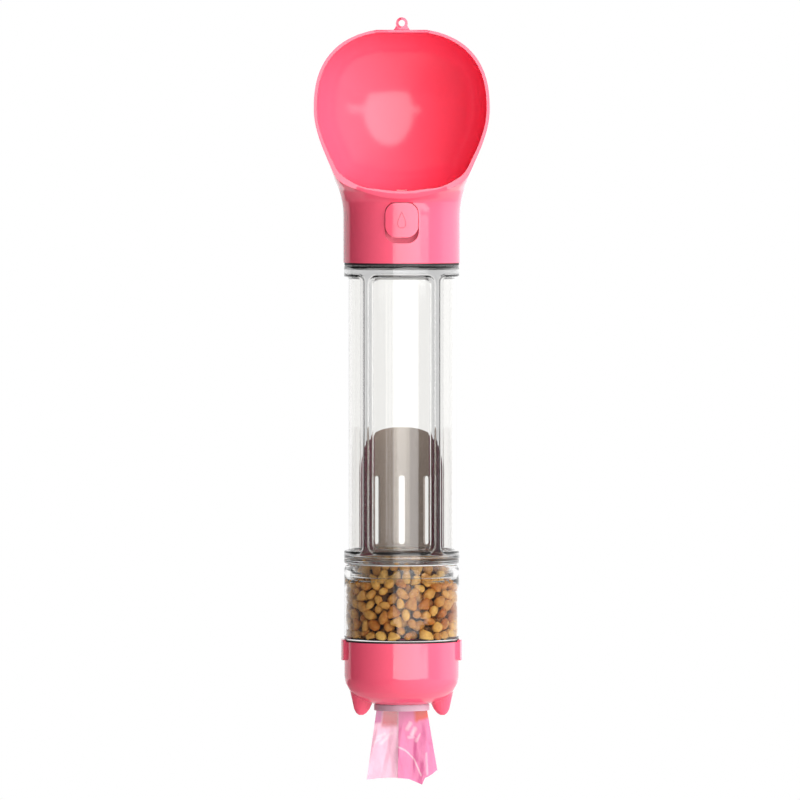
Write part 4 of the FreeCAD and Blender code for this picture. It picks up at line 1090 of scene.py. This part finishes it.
@dataclass
class ClearWall:
    """The bottle's wall in millimetres about its axis, from the shoulder at 0 down, with four sunk panels."""

    tube: float = 30.0
    panel: float = 27.6
    wall: float = 1.3
    step_width: float = 1.1
    front_half: float = 17.2
    front_corner: float = 4.0
    side_half: float = 20.8
    side_corner: float = 2.6
    panel_top: float = -5.7
    panel_foot: float = -148.7
    thread_pitch: float = 4.0
    neck: float = 25.0
    neck_bore: float = 22.6
    neck_top: float = 7.6
    spigot: float = 27.0
    spigot_inside: float = 25.2
    foot: float = -155.1
    spigot_foot: float = -162.2
    floor_top: float = -152.3
    floor_foot: float = -153.3
    fine_from: float = 31.0
    fine_to: float = 51.0
    fine_step: float = 0.5
    wide_step: float = 2.6
    fillet: float = 2.0
    ring_step: float = 0.3
    neck_groove: float = 0.9
    spigot_groove: float = 0.35
    spigot_ring_step: float = 0.45

    def turns(self) -> list[float]:
        """The directions of the wall's columns in radians, close together at the pillars' edges."""
        quarter = list(np.arange(0.0, self.fine_from, self.wide_step))
        quarter += list(np.arange(self.fine_from, self.fine_to, self.fine_step))
        quarter += list(np.arange(self.fine_to, 90.0, self.wide_step))
        first = quarter + [90.0] + [180.0 - turn for turn in reversed(quarter[1:])]
        return [math.radians(turn) for turn in first + [180.0 + turn for turn in first]]

    def sunk(self, turn: float, z: float, inset: float) -> float:
        """How far the wall is sunk at a direction and height, from 0 on a pillar to 1 in a panel."""
        x, y = self.tube * math.sin(turn), self.tube * math.cos(turn)
        gap = min(self._outside_panel(x, z, self.front_half, self.front_corner),
                  self._outside_panel(y, z, self.side_half, self.side_corner)) - inset
        return 1.0 - float(smooth_step(-self.step_width, 0.0, gap))

    def _outside_panel(self, across: float, z: float, half: float, corner: float) -> float:
        """The distance outside a panel's rounded outline, negative inside it."""
        middle, reach = (self.panel_top + self.panel_foot) / 2, (self.panel_top - self.panel_foot) / 2
        aside, above = abs(across) - half + corner, abs(z - middle) - reach + corner
        return math.hypot(max(aside, 0.0), max(above, 0.0)) + min(max(aside, above), 0.0) - corner

    def _sink(self, turn: float, z: float, inset: float) -> float:
        """How deep the wall is sunk at a direction and height."""
        return (self.tube - self.panel) * self.sunk(turn, z, inset)

    def heights(self) -> list[float]:
        """The heights of the wall's rings, close together at the panels' ends."""
        top = list(np.arange(-1.2, self.panel_top - 6.0, -self.ring_step))
        foot = list(np.arange(self.foot + 1.2, self.panel_foot + 6.0, self.ring_step))[::-1]
        return top + list(np.linspace(top[-1], foot[0], 12))[1:-1] + foot

    def thread(self, turn: float, z: float, depth: float) -> float:
        """How deep a screw thread's groove is at a direction and height."""
        share = (z / self.thread_pitch + turn / (2 * math.pi)) % 1.0
        return depth * float(smooth_step(0.3, 0.45, share) * (1 - smooth_step(0.8, 0.95, share)))

    def rings(self) -> list[Callable[[float], Pair]]:
        """Every ring of the wall in order, each as radius and height by direction."""
        rings: list[Callable[[float], Pair]] = []

        def plain(*places: Pair) -> None:
            """Adds rings of one radius each."""
            rings.extend([lambda turn, r=r, z=z: (r, z) for r, z in places])

        inside, floor, top = self.tube - self.wall, self.floor_top, self.neck_top
        corner, bore = self.panel - self.wall - self.fillet - 0.2, self.neck_bore
        plain((0.2, floor), (18.0, floor), (corner, floor))
        for share in (0.25, 0.5, 0.75):
            bend = share * math.pi / 2
            plain((corner + self.fillet * math.sin(bend), floor + self.fillet * (1 - math.cos(bend))))
        for z in reversed(self.heights()):
            if floor + self.fillet < z < -1.8:
                rings.append(lambda turn, z=z: (inside - self._sink(turn, z, self.wall * 0.8), z))
        plain((inside - 0.2, -1.2), (inside - 0.8, -0.8), (bore + 0.7, -0.75), (bore, -0.3), (bore, 3.0),
              (bore, top - 0.4), (bore + 0.4, top), (self.neck - 0.5, top))
        for z in np.arange(top - 0.4, 0.5, -self.ring_step):
            fade = float(smooth_step(0.5, 1.4, z) * (1 - smooth_step(top - 1.2, top - 0.4, z)))
            groove = self.neck_groove * fade
            rings.append(lambda turn, z=z, groove=groove: (self.neck - self.thread(turn, z, groove), z))
        plain((self.neck, 0.0), (self.tube - 0.9, 0.0), (self.tube - 0.35, -0.12), (self.tube - 0.08, -0.45))
        for z in self.heights():
            rings.append(lambda turn, z=z: (self.tube - self._sink(turn, z, 0.0), z))
        plain((self.tube - 0.05, self.foot + 0.5), (self.tube - 0.3, self.foot + 0.12),
              (self.tube - 0.8, self.foot), (self.spigot, self.foot))
        for z in np.arange(self.foot - 0.5, self.spigot_foot + 0.6, -self.spigot_ring_step):
            fade = float(smooth_step(self.spigot_foot + 0.6, self.spigot_foot + 2.0, z)
                         * (1 - smooth_step(self.foot - 1.8, self.foot - 0.6, z)))
            groove = self.spigot_groove * fade
            rings.append(lambda turn, z=z, groove=groove: (self.spigot - self.thread(turn, z, groove), z))
        plain((self.spigot - 0.1, self.spigot_foot + 0.3), (self.spigot - 0.5, self.spigot_foot),
              (self.spigot_inside + 0.4, self.spigot_foot), (self.spigot_inside, self.spigot_foot + 0.4),
              (self.spigot_inside, self.floor_foot - 0.5), (self.spigot_inside - 0.5, self.floor_foot),
              (18.0, self.floor_foot), (0.2, self.floor_foot))
        return rings


@dataclass
class Bottle:
    """The clear bottle and the scoop on its back."""

    shop: Workshop
    wall: ClearWall = field(default_factory=ClearWall)
    sharp_degrees: float = 50.0

    def build(self) -> None:
        """Builds the bottle, its lower seal and the scoop."""
        low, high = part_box("water_bottle")
        axis = (low + high) / 2
        shape = around_axis(self.wall.rings(), self.wall.turns(), axis, high.z - self.wall.neck_top * MM)
        self.shop.place("clear_bottle", shape, "bottle_clear", "bottle", "clear_plastic", ("water_bottle",),
                        self.sharp_degrees)
        self.shop.polished("soft_seal", "cup_seal", "milky_rubber", "cup_ring", "soft_clear_rubber")
        self.shop.polished("slotted_scoop", "scoop", "scoop_taupe_painted_reflection", "scoop_blade", "taupe_plastic")


class PelletForm(Enum):
    """The outlines that a pellet may have."""

    TRIANGLE = "rounded triangle"
    TEARDROP = "teardrop"
    OVAL = "oval"
    BEAN = "bean"


@dataclass
class FoodCup:
    """The clear cup and the dry food in it."""

    shop: Workshop
    wall_gap: float = 0.1 * MM
    inner_wall: float = 29.1 * MM
    columns: int = 256
    top: float = -155.6
    profile: tuple[Pair, ...] = (
        (0.2, -194.2), (20.0, -194.2), (27.6, -194.2), (28.5, -193.9), (29.0, -193.3), (29.1, -192.6),
        (29.1, -180.0), (29.1, -168.0), (29.1, -165.4), (28.7, -164.4), (27.6, -163.6), (27.1, -163.0),
        (27.1, -160.0), (27.1, -156.4), (27.3, -155.8), (27.9, -155.6), (28.4, -155.7), (29.1, -156.2),
        (29.6, -157.0), (29.86, -158.0), (29.9, -160.0), (29.9, -170.0), (29.9, -182.0), (29.9, -194.3),
        (29.8, -194.8), (29.4, -195.0), (26.5, -195.0), (26.5, -196.4), (26.15, -196.9), (26.15, -197.9),
        (26.5, -198.4), (26.5, -199.4), (26.15, -199.9), (26.15, -200.9), (26.5, -201.4), (26.5, -202.2),
        (26.2, -202.5), (25.0, -202.5), (24.7, -202.2), (24.7, -195.8), (24.2, -195.0), (12.0, -195.0),
        (0.2, -195.0))
    pellet_count: int = 640
    pellet_radius: float = 3.55 * MM
    size_range: Pair = (0.8, 1.12)
    lean: float = 1.2
    tone_spread: Pair = (0.42, 0.24)
    painted_shade_depths: Pair = (9 * MM, 4 * MM)
    floor_rise: float = 8.4 * MM
    top_rise: float = 8.5 * MM
    neck_rise: float = 30.6 * MM
    neck_inset: float = 3.95 * MM
    press_gap: float = 0.05 * MM
    cell: float = 8.5 * MM
    nearness: float = 0.84
    wall_share: float = 0.62
    shoulder_depth: float = 9 * MM
    shoulder_inset: float = 3.4 * MM
    rest_shares: Pair = (0.5, 0.8)
    flatness: Pair = (0.92, 0.66)
    relax_rounds: int = 90
    seed: int = 11
    tone_attribute: str = "pellet_tone"
    painted_shade_attribute: str = "pellet_painted_shade"

    def build(self) -> None:
        """Builds the cup, its food and the black ring below it."""
        low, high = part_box("food_cup")
        turns = [2 * math.pi * column / self.columns for column in range(self.columns)]
        rings = [lambda turn, place=place: place for place in self.profile]
        shape = around_axis(rings, turns, (low + high) / 2, high.z - self.top * MM)
        self.shop.place("clear_cup", shape, "cup_clear", "cup", "clear_plastic", ("food_cup",),
                        sharp_degrees=40.0)
        self.shop.polished("black_seal", "box_seal", "black_rubber", "box_ring", "black_rubber")
        self._food()

    def _food(self) -> None:
        """Pellets of a few shapes, settled among each other by pushing overlaps apart."""
        dice = random.Random(self.seed)
        low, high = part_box("food_cup")
        axis = Vector((0.0, (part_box("water_bottle")[0].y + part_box("water_bottle")[1].y) / 2, 0.0))
        floor = low.z + self.floor_rise
        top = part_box("water_bottle")[0].z + self.top_rise
        wall = self.inner_wall - self.wall_gap
        centres = self._settle(dice, wall, floor, top)
        shapes = [self._pellet_shape(form) for form in PelletForm]
        pile = bmesh.new()
        layers = [pile.verts.layers.float.new(name) for name in (self.tone_attribute, self.painted_shade_attribute)]
        for centre, size in centres:
            shape = dice.choice(shapes)
            turn = Matrix.Rotation(dice.uniform(0, 2 * math.pi), 4, "Z") @ Matrix.Rotation(
                dice.uniform(-self.lean, self.lean), 4, "X") @ Matrix.Rotation(
                dice.uniform(0, 2 * math.pi), 4, "Y")
            place = Matrix.Translation(centre + axis) @ turn @ Matrix.Scale(size, 4)
            shade = min(max(dice.gauss(*self.tone_spread), 0.0), 1.0)
            # Painted shade: pellets further in from the cup's wall get more of the shaded colour.
            inner, outer = (wall - depth for depth in self.painted_shade_depths)
            deep = 1.0 - float(smooth_step(inner, outer, math.hypot(centre.x, centre.y)))
            self._add_copy(pile, shape, place, layers, (shade, deep))
        self._press(pile, axis, wall, floor + self.press_gap)
        self.shop.place("dry_food", pile, "kibble_crust", "cup", "dry_food", ("kibble",),
                        sharp_degrees=80.0)

    def _press(self, pile: bmesh.types.BMesh, axis: Vector, wall: float, floor: float) -> None:
        """Flattens the pellets where they lean on the cup's wall and floor."""
        neck_foot, neck = floor + self.neck_rise, wall - self.neck_inset
        for corner in pile.verts:
            flat = Vector((corner.co.x - axis.x, corner.co.y - axis.y))
            reach = wall if corner.co.z < neck_foot else neck
            if flat.length > reach:
                flat = flat.normalized() * reach
                corner.co.x, corner.co.y = axis.x + flat.x, axis.y + flat.y
            corner.co.z = max(corner.co.z, floor)

    def _settle(self, dice: random.Random, wall: float, floor: float, top: float
                ) -> list[tuple[Vector, float]]:
        """Places pellets at random and pushes them apart.

        Args:
            dice: The seeded source of chance.
            wall: The cup's inner radius.
            floor: The height of its floor.
            top: The height that the food reaches.

        Returns:
            Centre and size of each pellet, about the cup's axis.
        """
        spots = []
        for _ in range(self.pellet_count):
            turn, reach = dice.uniform(0, 2 * math.pi), wall * math.sqrt(dice.random())
            size = self.pellet_radius * dice.uniform(*self.size_range)
            place = Vector((reach * math.cos(turn), reach * math.sin(turn), dice.uniform(floor, top)))
            spots.append([place, size])
        for _ in range(self.relax_rounds):
            self._push_apart(spots)
            for spot in spots:
                self._keep_inside(spot, wall, floor, top)
        return [(spot[0], spot[1]) for spot in spots]

    def _push_apart(self, spots: list[list[Any]]) -> None:
        """Moves each overlapping pair of pellets half its overlap apart."""
        grid: dict[tuple[int, ...], list[int]] = {}
        for number, (place, _) in enumerate(spots):
            grid.setdefault(tuple(int(value // self.cell) for value in place), []).append(number)
        around = [(i, j, k) for i in (-1, 0, 1) for j in (-1, 0, 1) for k in (-1, 0, 1)]
        for key, members in grid.items():
            near = [n for step in around for n in grid.get(tuple(a + b for a, b in zip(key, step)), ())]
            for first in members:
                for second in near:
                    if second <= first:
                        continue
                    gap = spots[second][0] - spots[first][0]
                    reach = (spots[first][1] + spots[second][1]) * self.nearness
                    if 0 < gap.length < reach:
                        push = gap.normalized() * (reach - gap.length) / 2
                        spots[first][0] -= push
                        spots[second][0] += push

    def _keep_inside(self, spot: list[Any], wall: float, floor: float, top: float) -> None:
        """Brings one pellet back between the cup's wall, its floor and the food's top."""
        place, size = spot
        below, above = (size * share for share in self.rest_shares)
        limit = wall - size * self.wall_share
        if place.z > top - self.shoulder_depth:
            limit -= self.shoulder_inset
        flat = Vector((place.x, place.y))
        if flat.length > limit:
            flat = flat.normalized() * limit
        spot[0] = Vector((flat.x, flat.y, min(max(place.z, floor + below), top - above)))

    def _pellet_shape(self, form: PelletForm) -> bmesh.types.BMesh:
        """One low pellet of unit size."""
        shape = bmesh.new()
        bmesh.ops.create_icosphere(shape, subdivisions=2, radius=1.0)
        for corner in shape.verts:
            x, y, z = corner.co
            turn = math.atan2(y, x)
            if form is PelletForm.TRIANGLE:
                swell = 1 + 0.27 * math.cos(3 * turn)
            elif form is PelletForm.TEARDROP:
                swell = 0.9 + 0.3 * math.cos(turn) * abs(math.cos(turn))
            elif form is PelletForm.OVAL:
                swell = 0.86 + 0.12 * math.cos(2 * turn)
            else:
                swell = 1 + 0.2 * math.cos(3 * turn) + 0.12 * math.cos(turn)
            corner.co = Vector((x * swell, y * swell * self.flatness[0], z * self.flatness[1]))
        return shape

    @staticmethod
    def _add_copy(pile: bmesh.types.BMesh, shape: bmesh.types.BMesh, place: Matrix, layers: Sequence[Any],
                  values: Sequence[float]) -> None:
        """Adds a moved copy of a pellet to the pile, with its own tone and painted shade."""
        corners = {}
        for corner in shape.verts:
            new = pile.verts.new(place @ corner.co)
            for layer, value in zip(layers, values):
                new[layer] = value
            corners[corner] = new
        for face in shape.faces:
            pile.faces.new([corners[corner] for corner in face.verts])


def fold(place: float) -> float:
    """A sharp-edged zigzag between 0 and 1 with a period of 1."""
    return abs((place % 1.0) * 2 - 1)


@dataclass
class BagBox:
    """The cat-eared box, its exit ring, the roll and the bag that hangs out."""

    shop: Workshop
    film_columns: int = 72
    film_rows: int = 96
    film_gap: float = 0.9 * MM
    mouth_half: float = 13.1 * MM
    right_share: float = 0.99
    front_start: float = 0.44
    belly: float = 0.6 * MM
    pale: Colour = srgb(244, 172, 198)
    deep: Colour = srgb(226, 106, 158)
    patches: tuple[tuple[Colour, Pair, Pair, Pair], ...] = (
        (srgb(196, 16, 52), (0.33, 0.42), (0.10, 0.16), (0.40, 0.46)),
        (srgb(190, 36, 128), (0.31, 0.36), (-2.0, -1.0), (0.10, 0.16)),
        (srgb(222, 62, 40), (0.28, 0.33), (0.70, 0.80), (2.0, 3.0)))
    # Painted highlight colour for the film's crinkles.
    crease_highlight: Colour = srgb(255, 214, 222)
    folds: tuple[Steps, ...] = (
        (2.3, 0.35, 0.2, 0.8), (3.1, -0.9, 0.7, 0.26), (1.3, 3.3, 0.4, 0.12), (7.3, 1.6, 0.1, 0.1))
    torn_edge: tuple[Pair, ...] = (
        (0.0, 2.6), (0.18, 3.3), (0.33, 3.6), (0.47, 3.4), (0.6, 2.9), (0.7, 1.3), (0.785, 0.0), (0.80, 1.6),
        (0.825, 3.6), (0.87, 4.2), (0.93, 5.6), (0.985, 7.4), (1.0, 7.2))
    # Painted highlights along creases: start across, start down, end across, end down, strength, width.
    highlight_creases: tuple[tuple[float, ...], ...] = (
        (0.10, 0.50, 0.20, 0.47, 0.55, 0.035), (0.16, 0.58, 0.24, 0.52, 0.6, 0.035),
        (0.24, 0.50, 0.33, 0.46, 0.4, 0.03), (0.05, 0.56, 0.13, 0.52, 0.5, 0.03),
        (0.60, 0.40, 0.66, 0.33, 0.6, 0.04), (0.68, 0.46, 0.74, 0.38, 0.65, 0.04),
        (0.62, 0.50, 0.70, 0.48, 0.5, 0.03), (0.74, 0.52, 0.80, 0.47, 0.5, 0.03),
        (0.42, 0.62, 0.55, 0.66, 0.8, 0.014),
        (0.55, 0.66, 0.69, 0.74, 0.8, 0.014), (0.69, 0.74, 0.78, 0.90, 0.8, 0.014),
        (0.88, 0.72, 0.86, 0.97, 0.4, 0.02))

    def build(self) -> None:
        """Builds the box and what it holds."""
        self.shop.polished("eared_box", "bag_box", "gloss_pink", "box", "pink_shell")
        self.shop.polished("soft_exit", "exit_ring", "lilac_rubber", "box", "pale_rubber")
        roll = self.shop.joined_copy("bag_roll")
        self.shop.place("wound_roll", roll, "roll_film", "roll", "roll_film", ("bag_roll",),
                        sharp_degrees=30.0)
        self.shop.dress("roll_core", "card")
        self._bag()

    def _bag(self) -> None:
        """The end of the bag: a full rear layer and a folded front layer over its right half."""
        low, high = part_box("bag_film")
        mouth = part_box("exit_ring")[0].z
        sheet = bmesh.new()
        tint = sheet.verts.layers.float_color.new("film_tint")
        self._layer(sheet, tint, low, high, mouth, 0.0, 1.0, 0.0, False)
        self._layer(sheet, tint, low, high, mouth, self.front_start, 1.0, -self.film_gap, True)
        piece = self.shop.place("hanging_bag", sheet, "bag_film_pink", "film", "bag_film", ("bag_film",),
                                sharp_degrees=60.0)

    def _layer(self, sheet: bmesh.types.BMesh, tint: Any, low: Vector, high: Vector, mouth: float,
               start: float, end: float, offset: float, front: bool) -> None:
        """One layer of film between two shares of its width.

        Args:
            sheet: The shape that it is added to.
            tint: The colour layer of its points.
            low: The lowest corner of the room that the film may take.
            high: The highest corner of that room.
            mouth: The height of the exit's lower edge.
            start: The share of the width at its left edge.
            end: The share of the width at its right edge.
            offset: How far it lies in front of the first layer.
            front: Whether it is the folded front layer.
        """
        rows = []
        for row in range(self.film_rows + 1):
            down = row / self.film_rows
            points = []
            for column in range(self.film_columns + 1):
                across = start + (end - start) * column / self.film_columns
                place = self._film_point(low, high, mouth, across, down, offset, front)
                corner = sheet.verts.new(place)
                corner[tint] = (*self._film_tint(across, down, front), 1.0)
                points.append(corner)
            rows.append(points)
        for upper, lower in zip(rows, rows[1:]):
            for a, b, c, d in zip(upper, upper[1:], lower[1:], lower):
                sheet.faces.new((d, c, b, a))

    def _film_point(self, low: Vector, high: Vector, mouth: float, across: float, down: float, offset: float,
                    front: bool) -> Vector:
        """Where the film's point at a share of its width and length lies."""
        left_top, right_top = -self.mouth_half, self.mouth_half * self.right_share
        drop = (high.z - mouth) / (high.z - low.z)
        widen = max((down - drop) / (1 - drop), 0.0)
        left = left_top + (low.x - left_top) * widen
        right = right_top + (high.x - right_top) * widen
        x = left + (right - left) * across
        foot = low.z + self._tear(across) * MM
        z = high.z + (foot - high.z) * down
        depth = sum(height * (fold(across * wide + down * long + phase) - 0.5)
                    for wide, long, phase, height in self.folds)
        depth *= MM * smooth_step(0.0, 0.5, widen)
        if front:
            depth -= self.belly * math.sin(math.pi * across) * widen
        return Vector((x, (low.y + high.y) / 2 + depth + offset, z))

    def _tear(self, across: float) -> float:
        """How far above the lowest point the torn lower edge is, in millimetres."""
        marks = self.torn_edge
        for (start, rise), (end, next_rise) in zip(marks, marks[1:]):
            if across <= end:
                return rise + (next_rise - rise) * (across - start) / (end - start)
        return marks[-1][1]

    def _film_tint(self, across: float, down: float, front: bool) -> Colour:
        """The film's tint at a share of its width and length, with painted highlights along its creases."""
        tone = np.array(self.deep if front else self.pale)
        for colour, foot, left, right in self.patches:
            sides = smooth_step(*left, across) * (1 - smooth_step(*right, across))
            share = (1 - smooth_step(*foot, down)) * sides
            tone = tone + (np.array(colour) - tone) * share
        white = max(self._crease_highlight(across, down, crease) for crease in self.highlight_creases)
        tone = tone + (np.array(self.crease_highlight) - tone) * white
        return tuple(float(value) for value in tone)

    @staticmethod
    def _crease_highlight(across: float, down: float, crease: tuple[float, ...]) -> float:
        """How much painted highlight a crease puts on the film at a share of its width and length."""
        start, end = np.array(crease[0:2]), np.array(crease[2:4])
        along = end - start
        here = np.array([across, down]) - start
        share = min(max(float(here @ along) / float(along @ along), 0.0), 1.0)
        aside = here - along * share
        distance = math.hypot(float(aside[0]) * FILM_PROPORTION, float(aside[1]))
        return crease[4] * (1 - float(smooth_step(0.0, crease[5], distance)))


@dataclass
class Studio:
    """The photograph's view, a pale floor and plain soft light."""

    distance: float = 6.0
    frame_width: float = 0.416
    eye_level: float = -0.0256
    frame_centre: float = -0.1958
    sideways: float = -0.0009
    sensor: float = 36.0
    floor_drop: float = 0.25
    floor_size: float = 3.0
    floor_colour: Steps = (0.86, 0.86, 0.86, 1.0)
    floor_roughness: float = 0.9
    floor_glow: float = 1.06
    floor_share: float = 0.85
    strip: Pair = (-17.2, 54.0)
    strip_edges: Pair = (1.0, 4.0)
    neck_rise: Pair = (-1.05, 0.6)
    box_rise: Pair = (-6.0, -2.75)
    floor_dark: Steps = (-0.5, 0.2, 0.12, 1.0)
    slim_half: float = 18.0
    slim_share: float = 0.5
    oval_centre: Pair = (13.0, 0.5)
    oval_reach: Pair = (24.0, 35.0)
    oval_edge: Pair = (0.85, 1.15)
    side_wall: Steps = (75.0, 95.0, 0.0, 1.0)
    rear_wall: Steps = (-128.0, -122.0, 1.0, 0.0)
    wall_glow: float = 0.95
    left_wall: Steps = (-104.0, -20.0, 0.05, 0.5)
    behind_turn: Steps = (60.0, 115.0, 0.08, 1.0)
    behind_rise: Steps = (14.0, 30.0, 1.0, 0.25)
    softbox_glow: float = 4.6
    softbox_light: float = 2.2
    lamp_light: float = 2.5
    lamp_turns: Pair = (-4.0, 90.0)
    lamp_rise: Pair = (30.0, 60.0)
    lamp_fade: float = 35.0
    shade_turn: float = 95.0
    ambient: Steps = (35.0, 130.0, 0.03, 1.15)

    def build(self, lowest: float) -> None:
        """Sets up camera, floor, world and colour management.

        Args:
            lowest: The height of the object's lowest point.
        """
        self._camera()
        self._floor(lowest - self.floor_drop)
        self._world()
        bpy.context.scene.view_settings.view_transform = "Standard"

    def _camera(self) -> None:
        """A long lens, level with the dish, that looks slightly down at the middle of the frame."""
        data = bpy.data.cameras.new("long_lens")
        data.sensor_width = self.sensor
        data.lens = self.sensor * self.distance / self.frame_width
        data.clip_end = 100.0
        camera = bpy.data.objects.new("long_lens", data)
        camera.location = (self.sideways, AXIS_Y - self.distance, self.eye_level)
        downward = math.atan2(self.eye_level - self.frame_centre, self.distance)
        camera.rotation_euler = (math.pi / 2 - downward, 0.0, 0.0)
        bpy.context.scene.collection.objects.link(camera)
        bpy.context.scene.camera = camera

    def _floor(self, height: float) -> None:
        """A pale floor that shows as the backdrop and still takes the shadow."""
        shape = bmesh.new()
        bmesh.ops.create_grid(shape, x_segments=1, y_segments=1, size=self.floor_size / 2)
        bmesh.ops.translate(shape, verts=shape.verts, vec=(0.0, 0.0, height))
        mesh = bpy.data.meshes.new("pale_floor")
        shape.to_mesh(mesh)
        shape.free()
        floor = bpy.data.objects.new("pale_floor", mesh)
        bpy.context.scene.collection.objects.link(floor)
        material = bpy.data.materials.new("pale_floor")
        material.use_nodes = True
        sheet = NodeSheet(material.node_tree)
        shader = material.node_tree.nodes["Principled BSDF"]
        shader.inputs["Base Color"].default_value = self.floor_colour
        shader.inputs["Roughness"].default_value = self.floor_roughness
        path = sheet.add("ShaderNodeLightPath")
        glow = sheet.add("ShaderNodeEmission")
        dark = sheet.ramp(sheet.axes()["X"], *self.floor_dark)
        strength = self._choose(sheet, path.outputs[Ray.GLOSSY.value], 1.0, dark)
        sheet.feed(glow.inputs["Strength"], sheet.math("MULTIPLY", strength, self.floor_glow))
        seen = sheet.math("MAXIMUM", path.outputs[Ray.CAMERA.value], path.outputs[Ray.TRANSMISSION.value])
        seen = sheet.math("MAXIMUM", seen, path.outputs[Ray.GLOSSY.value])
        sheet.cover(sheet.math("MULTIPLY", seen, self.floor_share), shader, glow)
        mesh.materials.append(material)
        floor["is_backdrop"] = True

    def _world(self) -> None:
        """White to the camera; a softbox, a dark flag and white walls to gloss and to clear plastic."""
        world = bpy.data.worlds.new("studio")
        bpy.context.scene.world = world
        world.use_nodes = True
        sheet = NodeSheet(world.node_tree)
        back = world.node_tree.nodes["Background"]
        axes = sheet.axes("Generated")
        ahead = sheet.math("MULTIPLY", axes["Y"], -1.0)
        turn = sheet.math("MULTIPLY", sheet.math("ARCTAN2", axes["X"], ahead), 180 / math.pi)
        rise = sheet.math("MULTIPLY", sheet.math("ARCSINE", axes["Z"]), 180 / math.pi)
        box = self._softbox(sheet, turn, rise)
        walls = sheet.math("MAXIMUM", sheet.ramp(turn, *self.side_wall), sheet.ramp(turn, *self.rear_wall))
        room = sheet.math("ADD", sheet.math("MULTIPLY", walls, self.wall_glow),
                          sheet.ramp(turn, *self.left_wall))
        gloss = sheet.math("ADD", room, sheet.math("MULTIPLY", box, self.softbox_glow))
        off_level = sheet.math("ABSOLUTE", rise)
        behind = sheet.math("MULTIPLY", sheet.ramp(sheet.math("ABSOLUTE", turn), *self.behind_turn),
                            sheet.ramp(off_level, *self.behind_rise))
        straight = sheet.math("ADD", behind, sheet.math("MULTIPLY", box, self.softbox_light))
        around = sheet.ramp(sheet.math("ABSOLUTE", sheet.math("ADD", turn, self.shade_turn)), *self.ambient)
        start, end = self.lamp_turns
        lamp = sheet.math("MULTIPLY", sheet.ramp(turn, start, start + self.lamp_fade),
                          sheet.ramp(turn, end, end + self.lamp_fade, 1.0, 0.0))
        lamp = sheet.math("MULTIPLY", lamp, sheet.ramp(off_level, *self.lamp_rise, 1.0, 0.0))
        light = sheet.math("ADD", around, sheet.math("MULTIPLY", lamp, self.lamp_light))
        path = sheet.add("ShaderNodeLightPath")
        level = self._choose(sheet, path.outputs[Ray.GLOSSY.value], light, gloss)
        level = self._choose(sheet, path.outputs[Ray.TRANSMISSION.value], level, straight)
        level = self._choose(sheet, path.outputs[Ray.CAMERA.value], level, 1.0)
        back.inputs["Color"].default_value = (1.0, 1.0, 1.0, 1.0)
        sheet.feed(back.inputs["Strength"], level)

    def _softbox(self, sheet: NodeSheet, turn: Any, rise: Any) -> bpy.types.NodeSocket:
        """1 where the softbox shows: two broad bands, a slim one between them and an oval.

        Args:
            sheet: The world's nodes.
            turn: The direction round the object in degrees, 0 at the viewer.
            rise: The direction's height in degrees.

        Returns:
            The softbox's share, from 0 to 1.
        """
        (left, right), (left_edge, right_edge) = self.strip, self.strip_edges
        strip = sheet.math("MULTIPLY", sheet.ramp(turn, left - left_edge, left + left_edge),
                           sheet.ramp(turn, right - right_edge, right + right_edge, 1.0, 0.0))
        bands = sheet.math("MAXIMUM", self._between(sheet, rise, *self.neck_rise),
                           self._between(sheet, rise, *self.box_rise))
        slim = sheet.math("MULTIPLY", self._between(sheet, turn, -self.slim_half, self.slim_half),
                          self._between(sheet, rise, self.box_rise[1], self.neck_rise[0]))
        strip = sheet.math("ADD", sheet.math("MULTIPLY", strip, bands),
                           sheet.math("MULTIPLY", slim, self.slim_share))
        squares = []
        for place, centre, reach in zip((turn, rise), self.oval_centre, self.oval_reach):
            share = sheet.math("DIVIDE", sheet.math("SUBTRACT", place, centre), reach)
            squares.append(sheet.math("POWER", share, 2.0))
        oval = sheet.ramp(sheet.math("ADD", *squares), *self.oval_edge, 1.0, 0.0)
        return sheet.math("MAXIMUM", strip, oval)

    @staticmethod
    def _between(sheet: NodeSheet, value: Any, low: float, high: float) -> bpy.types.NodeSocket:
        """1 between two values and 0 outside them, with soft ends."""
        edge = (high - low) * 0.04
        return sheet.math("MULTIPLY", sheet.ramp(value, low - edge, low + edge),
                          sheet.ramp(value, high - edge, high + edge, 1.0, 0.0))

    @staticmethod
    def _choose(sheet: NodeSheet, flag: Any, usual: Any, special: Any) -> bpy.types.NodeSocket:
        """The special value where a flag is set, and the usual one elsewhere."""
        node = sheet.add("ShaderNodeMix", data_type="FLOAT")
        sheet.feed(node.inputs["Factor"], flag)
        sheet.feed(node.inputs["A"], usual)
        sheet.feed(node.inputs["B"], special)
        return node.outputs["Result"]


def corners(bounds: Iterable[Vector]) -> list[list[float]]:
    """Two corners as plain lists of numbers."""
    return [[float(value) for value in corner] for corner in bounds]


def main() -> None:
    """Builds the bottle around its frame, part by part."""
    logging.basicConfig(level=logging.INFO, format="%(name)s %(message)s")
    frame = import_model()
    frame_bounds = corners(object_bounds())
    groups = SharedGroups()
    finishes = {finish.name: finish.build(groups) for finish in FINISHES}
    shop = Workshop(frame["nodes"], finishes)
    Studio().build(frame_bounds[0][2])
    for assembly in (Head(shop), Bottle(shop), FoodCup(shop), BagBox(shop)):
        assembly.build()
        log.info("%s: done", type(assembly).__name__)


if __name__ == "__main__":
    main()
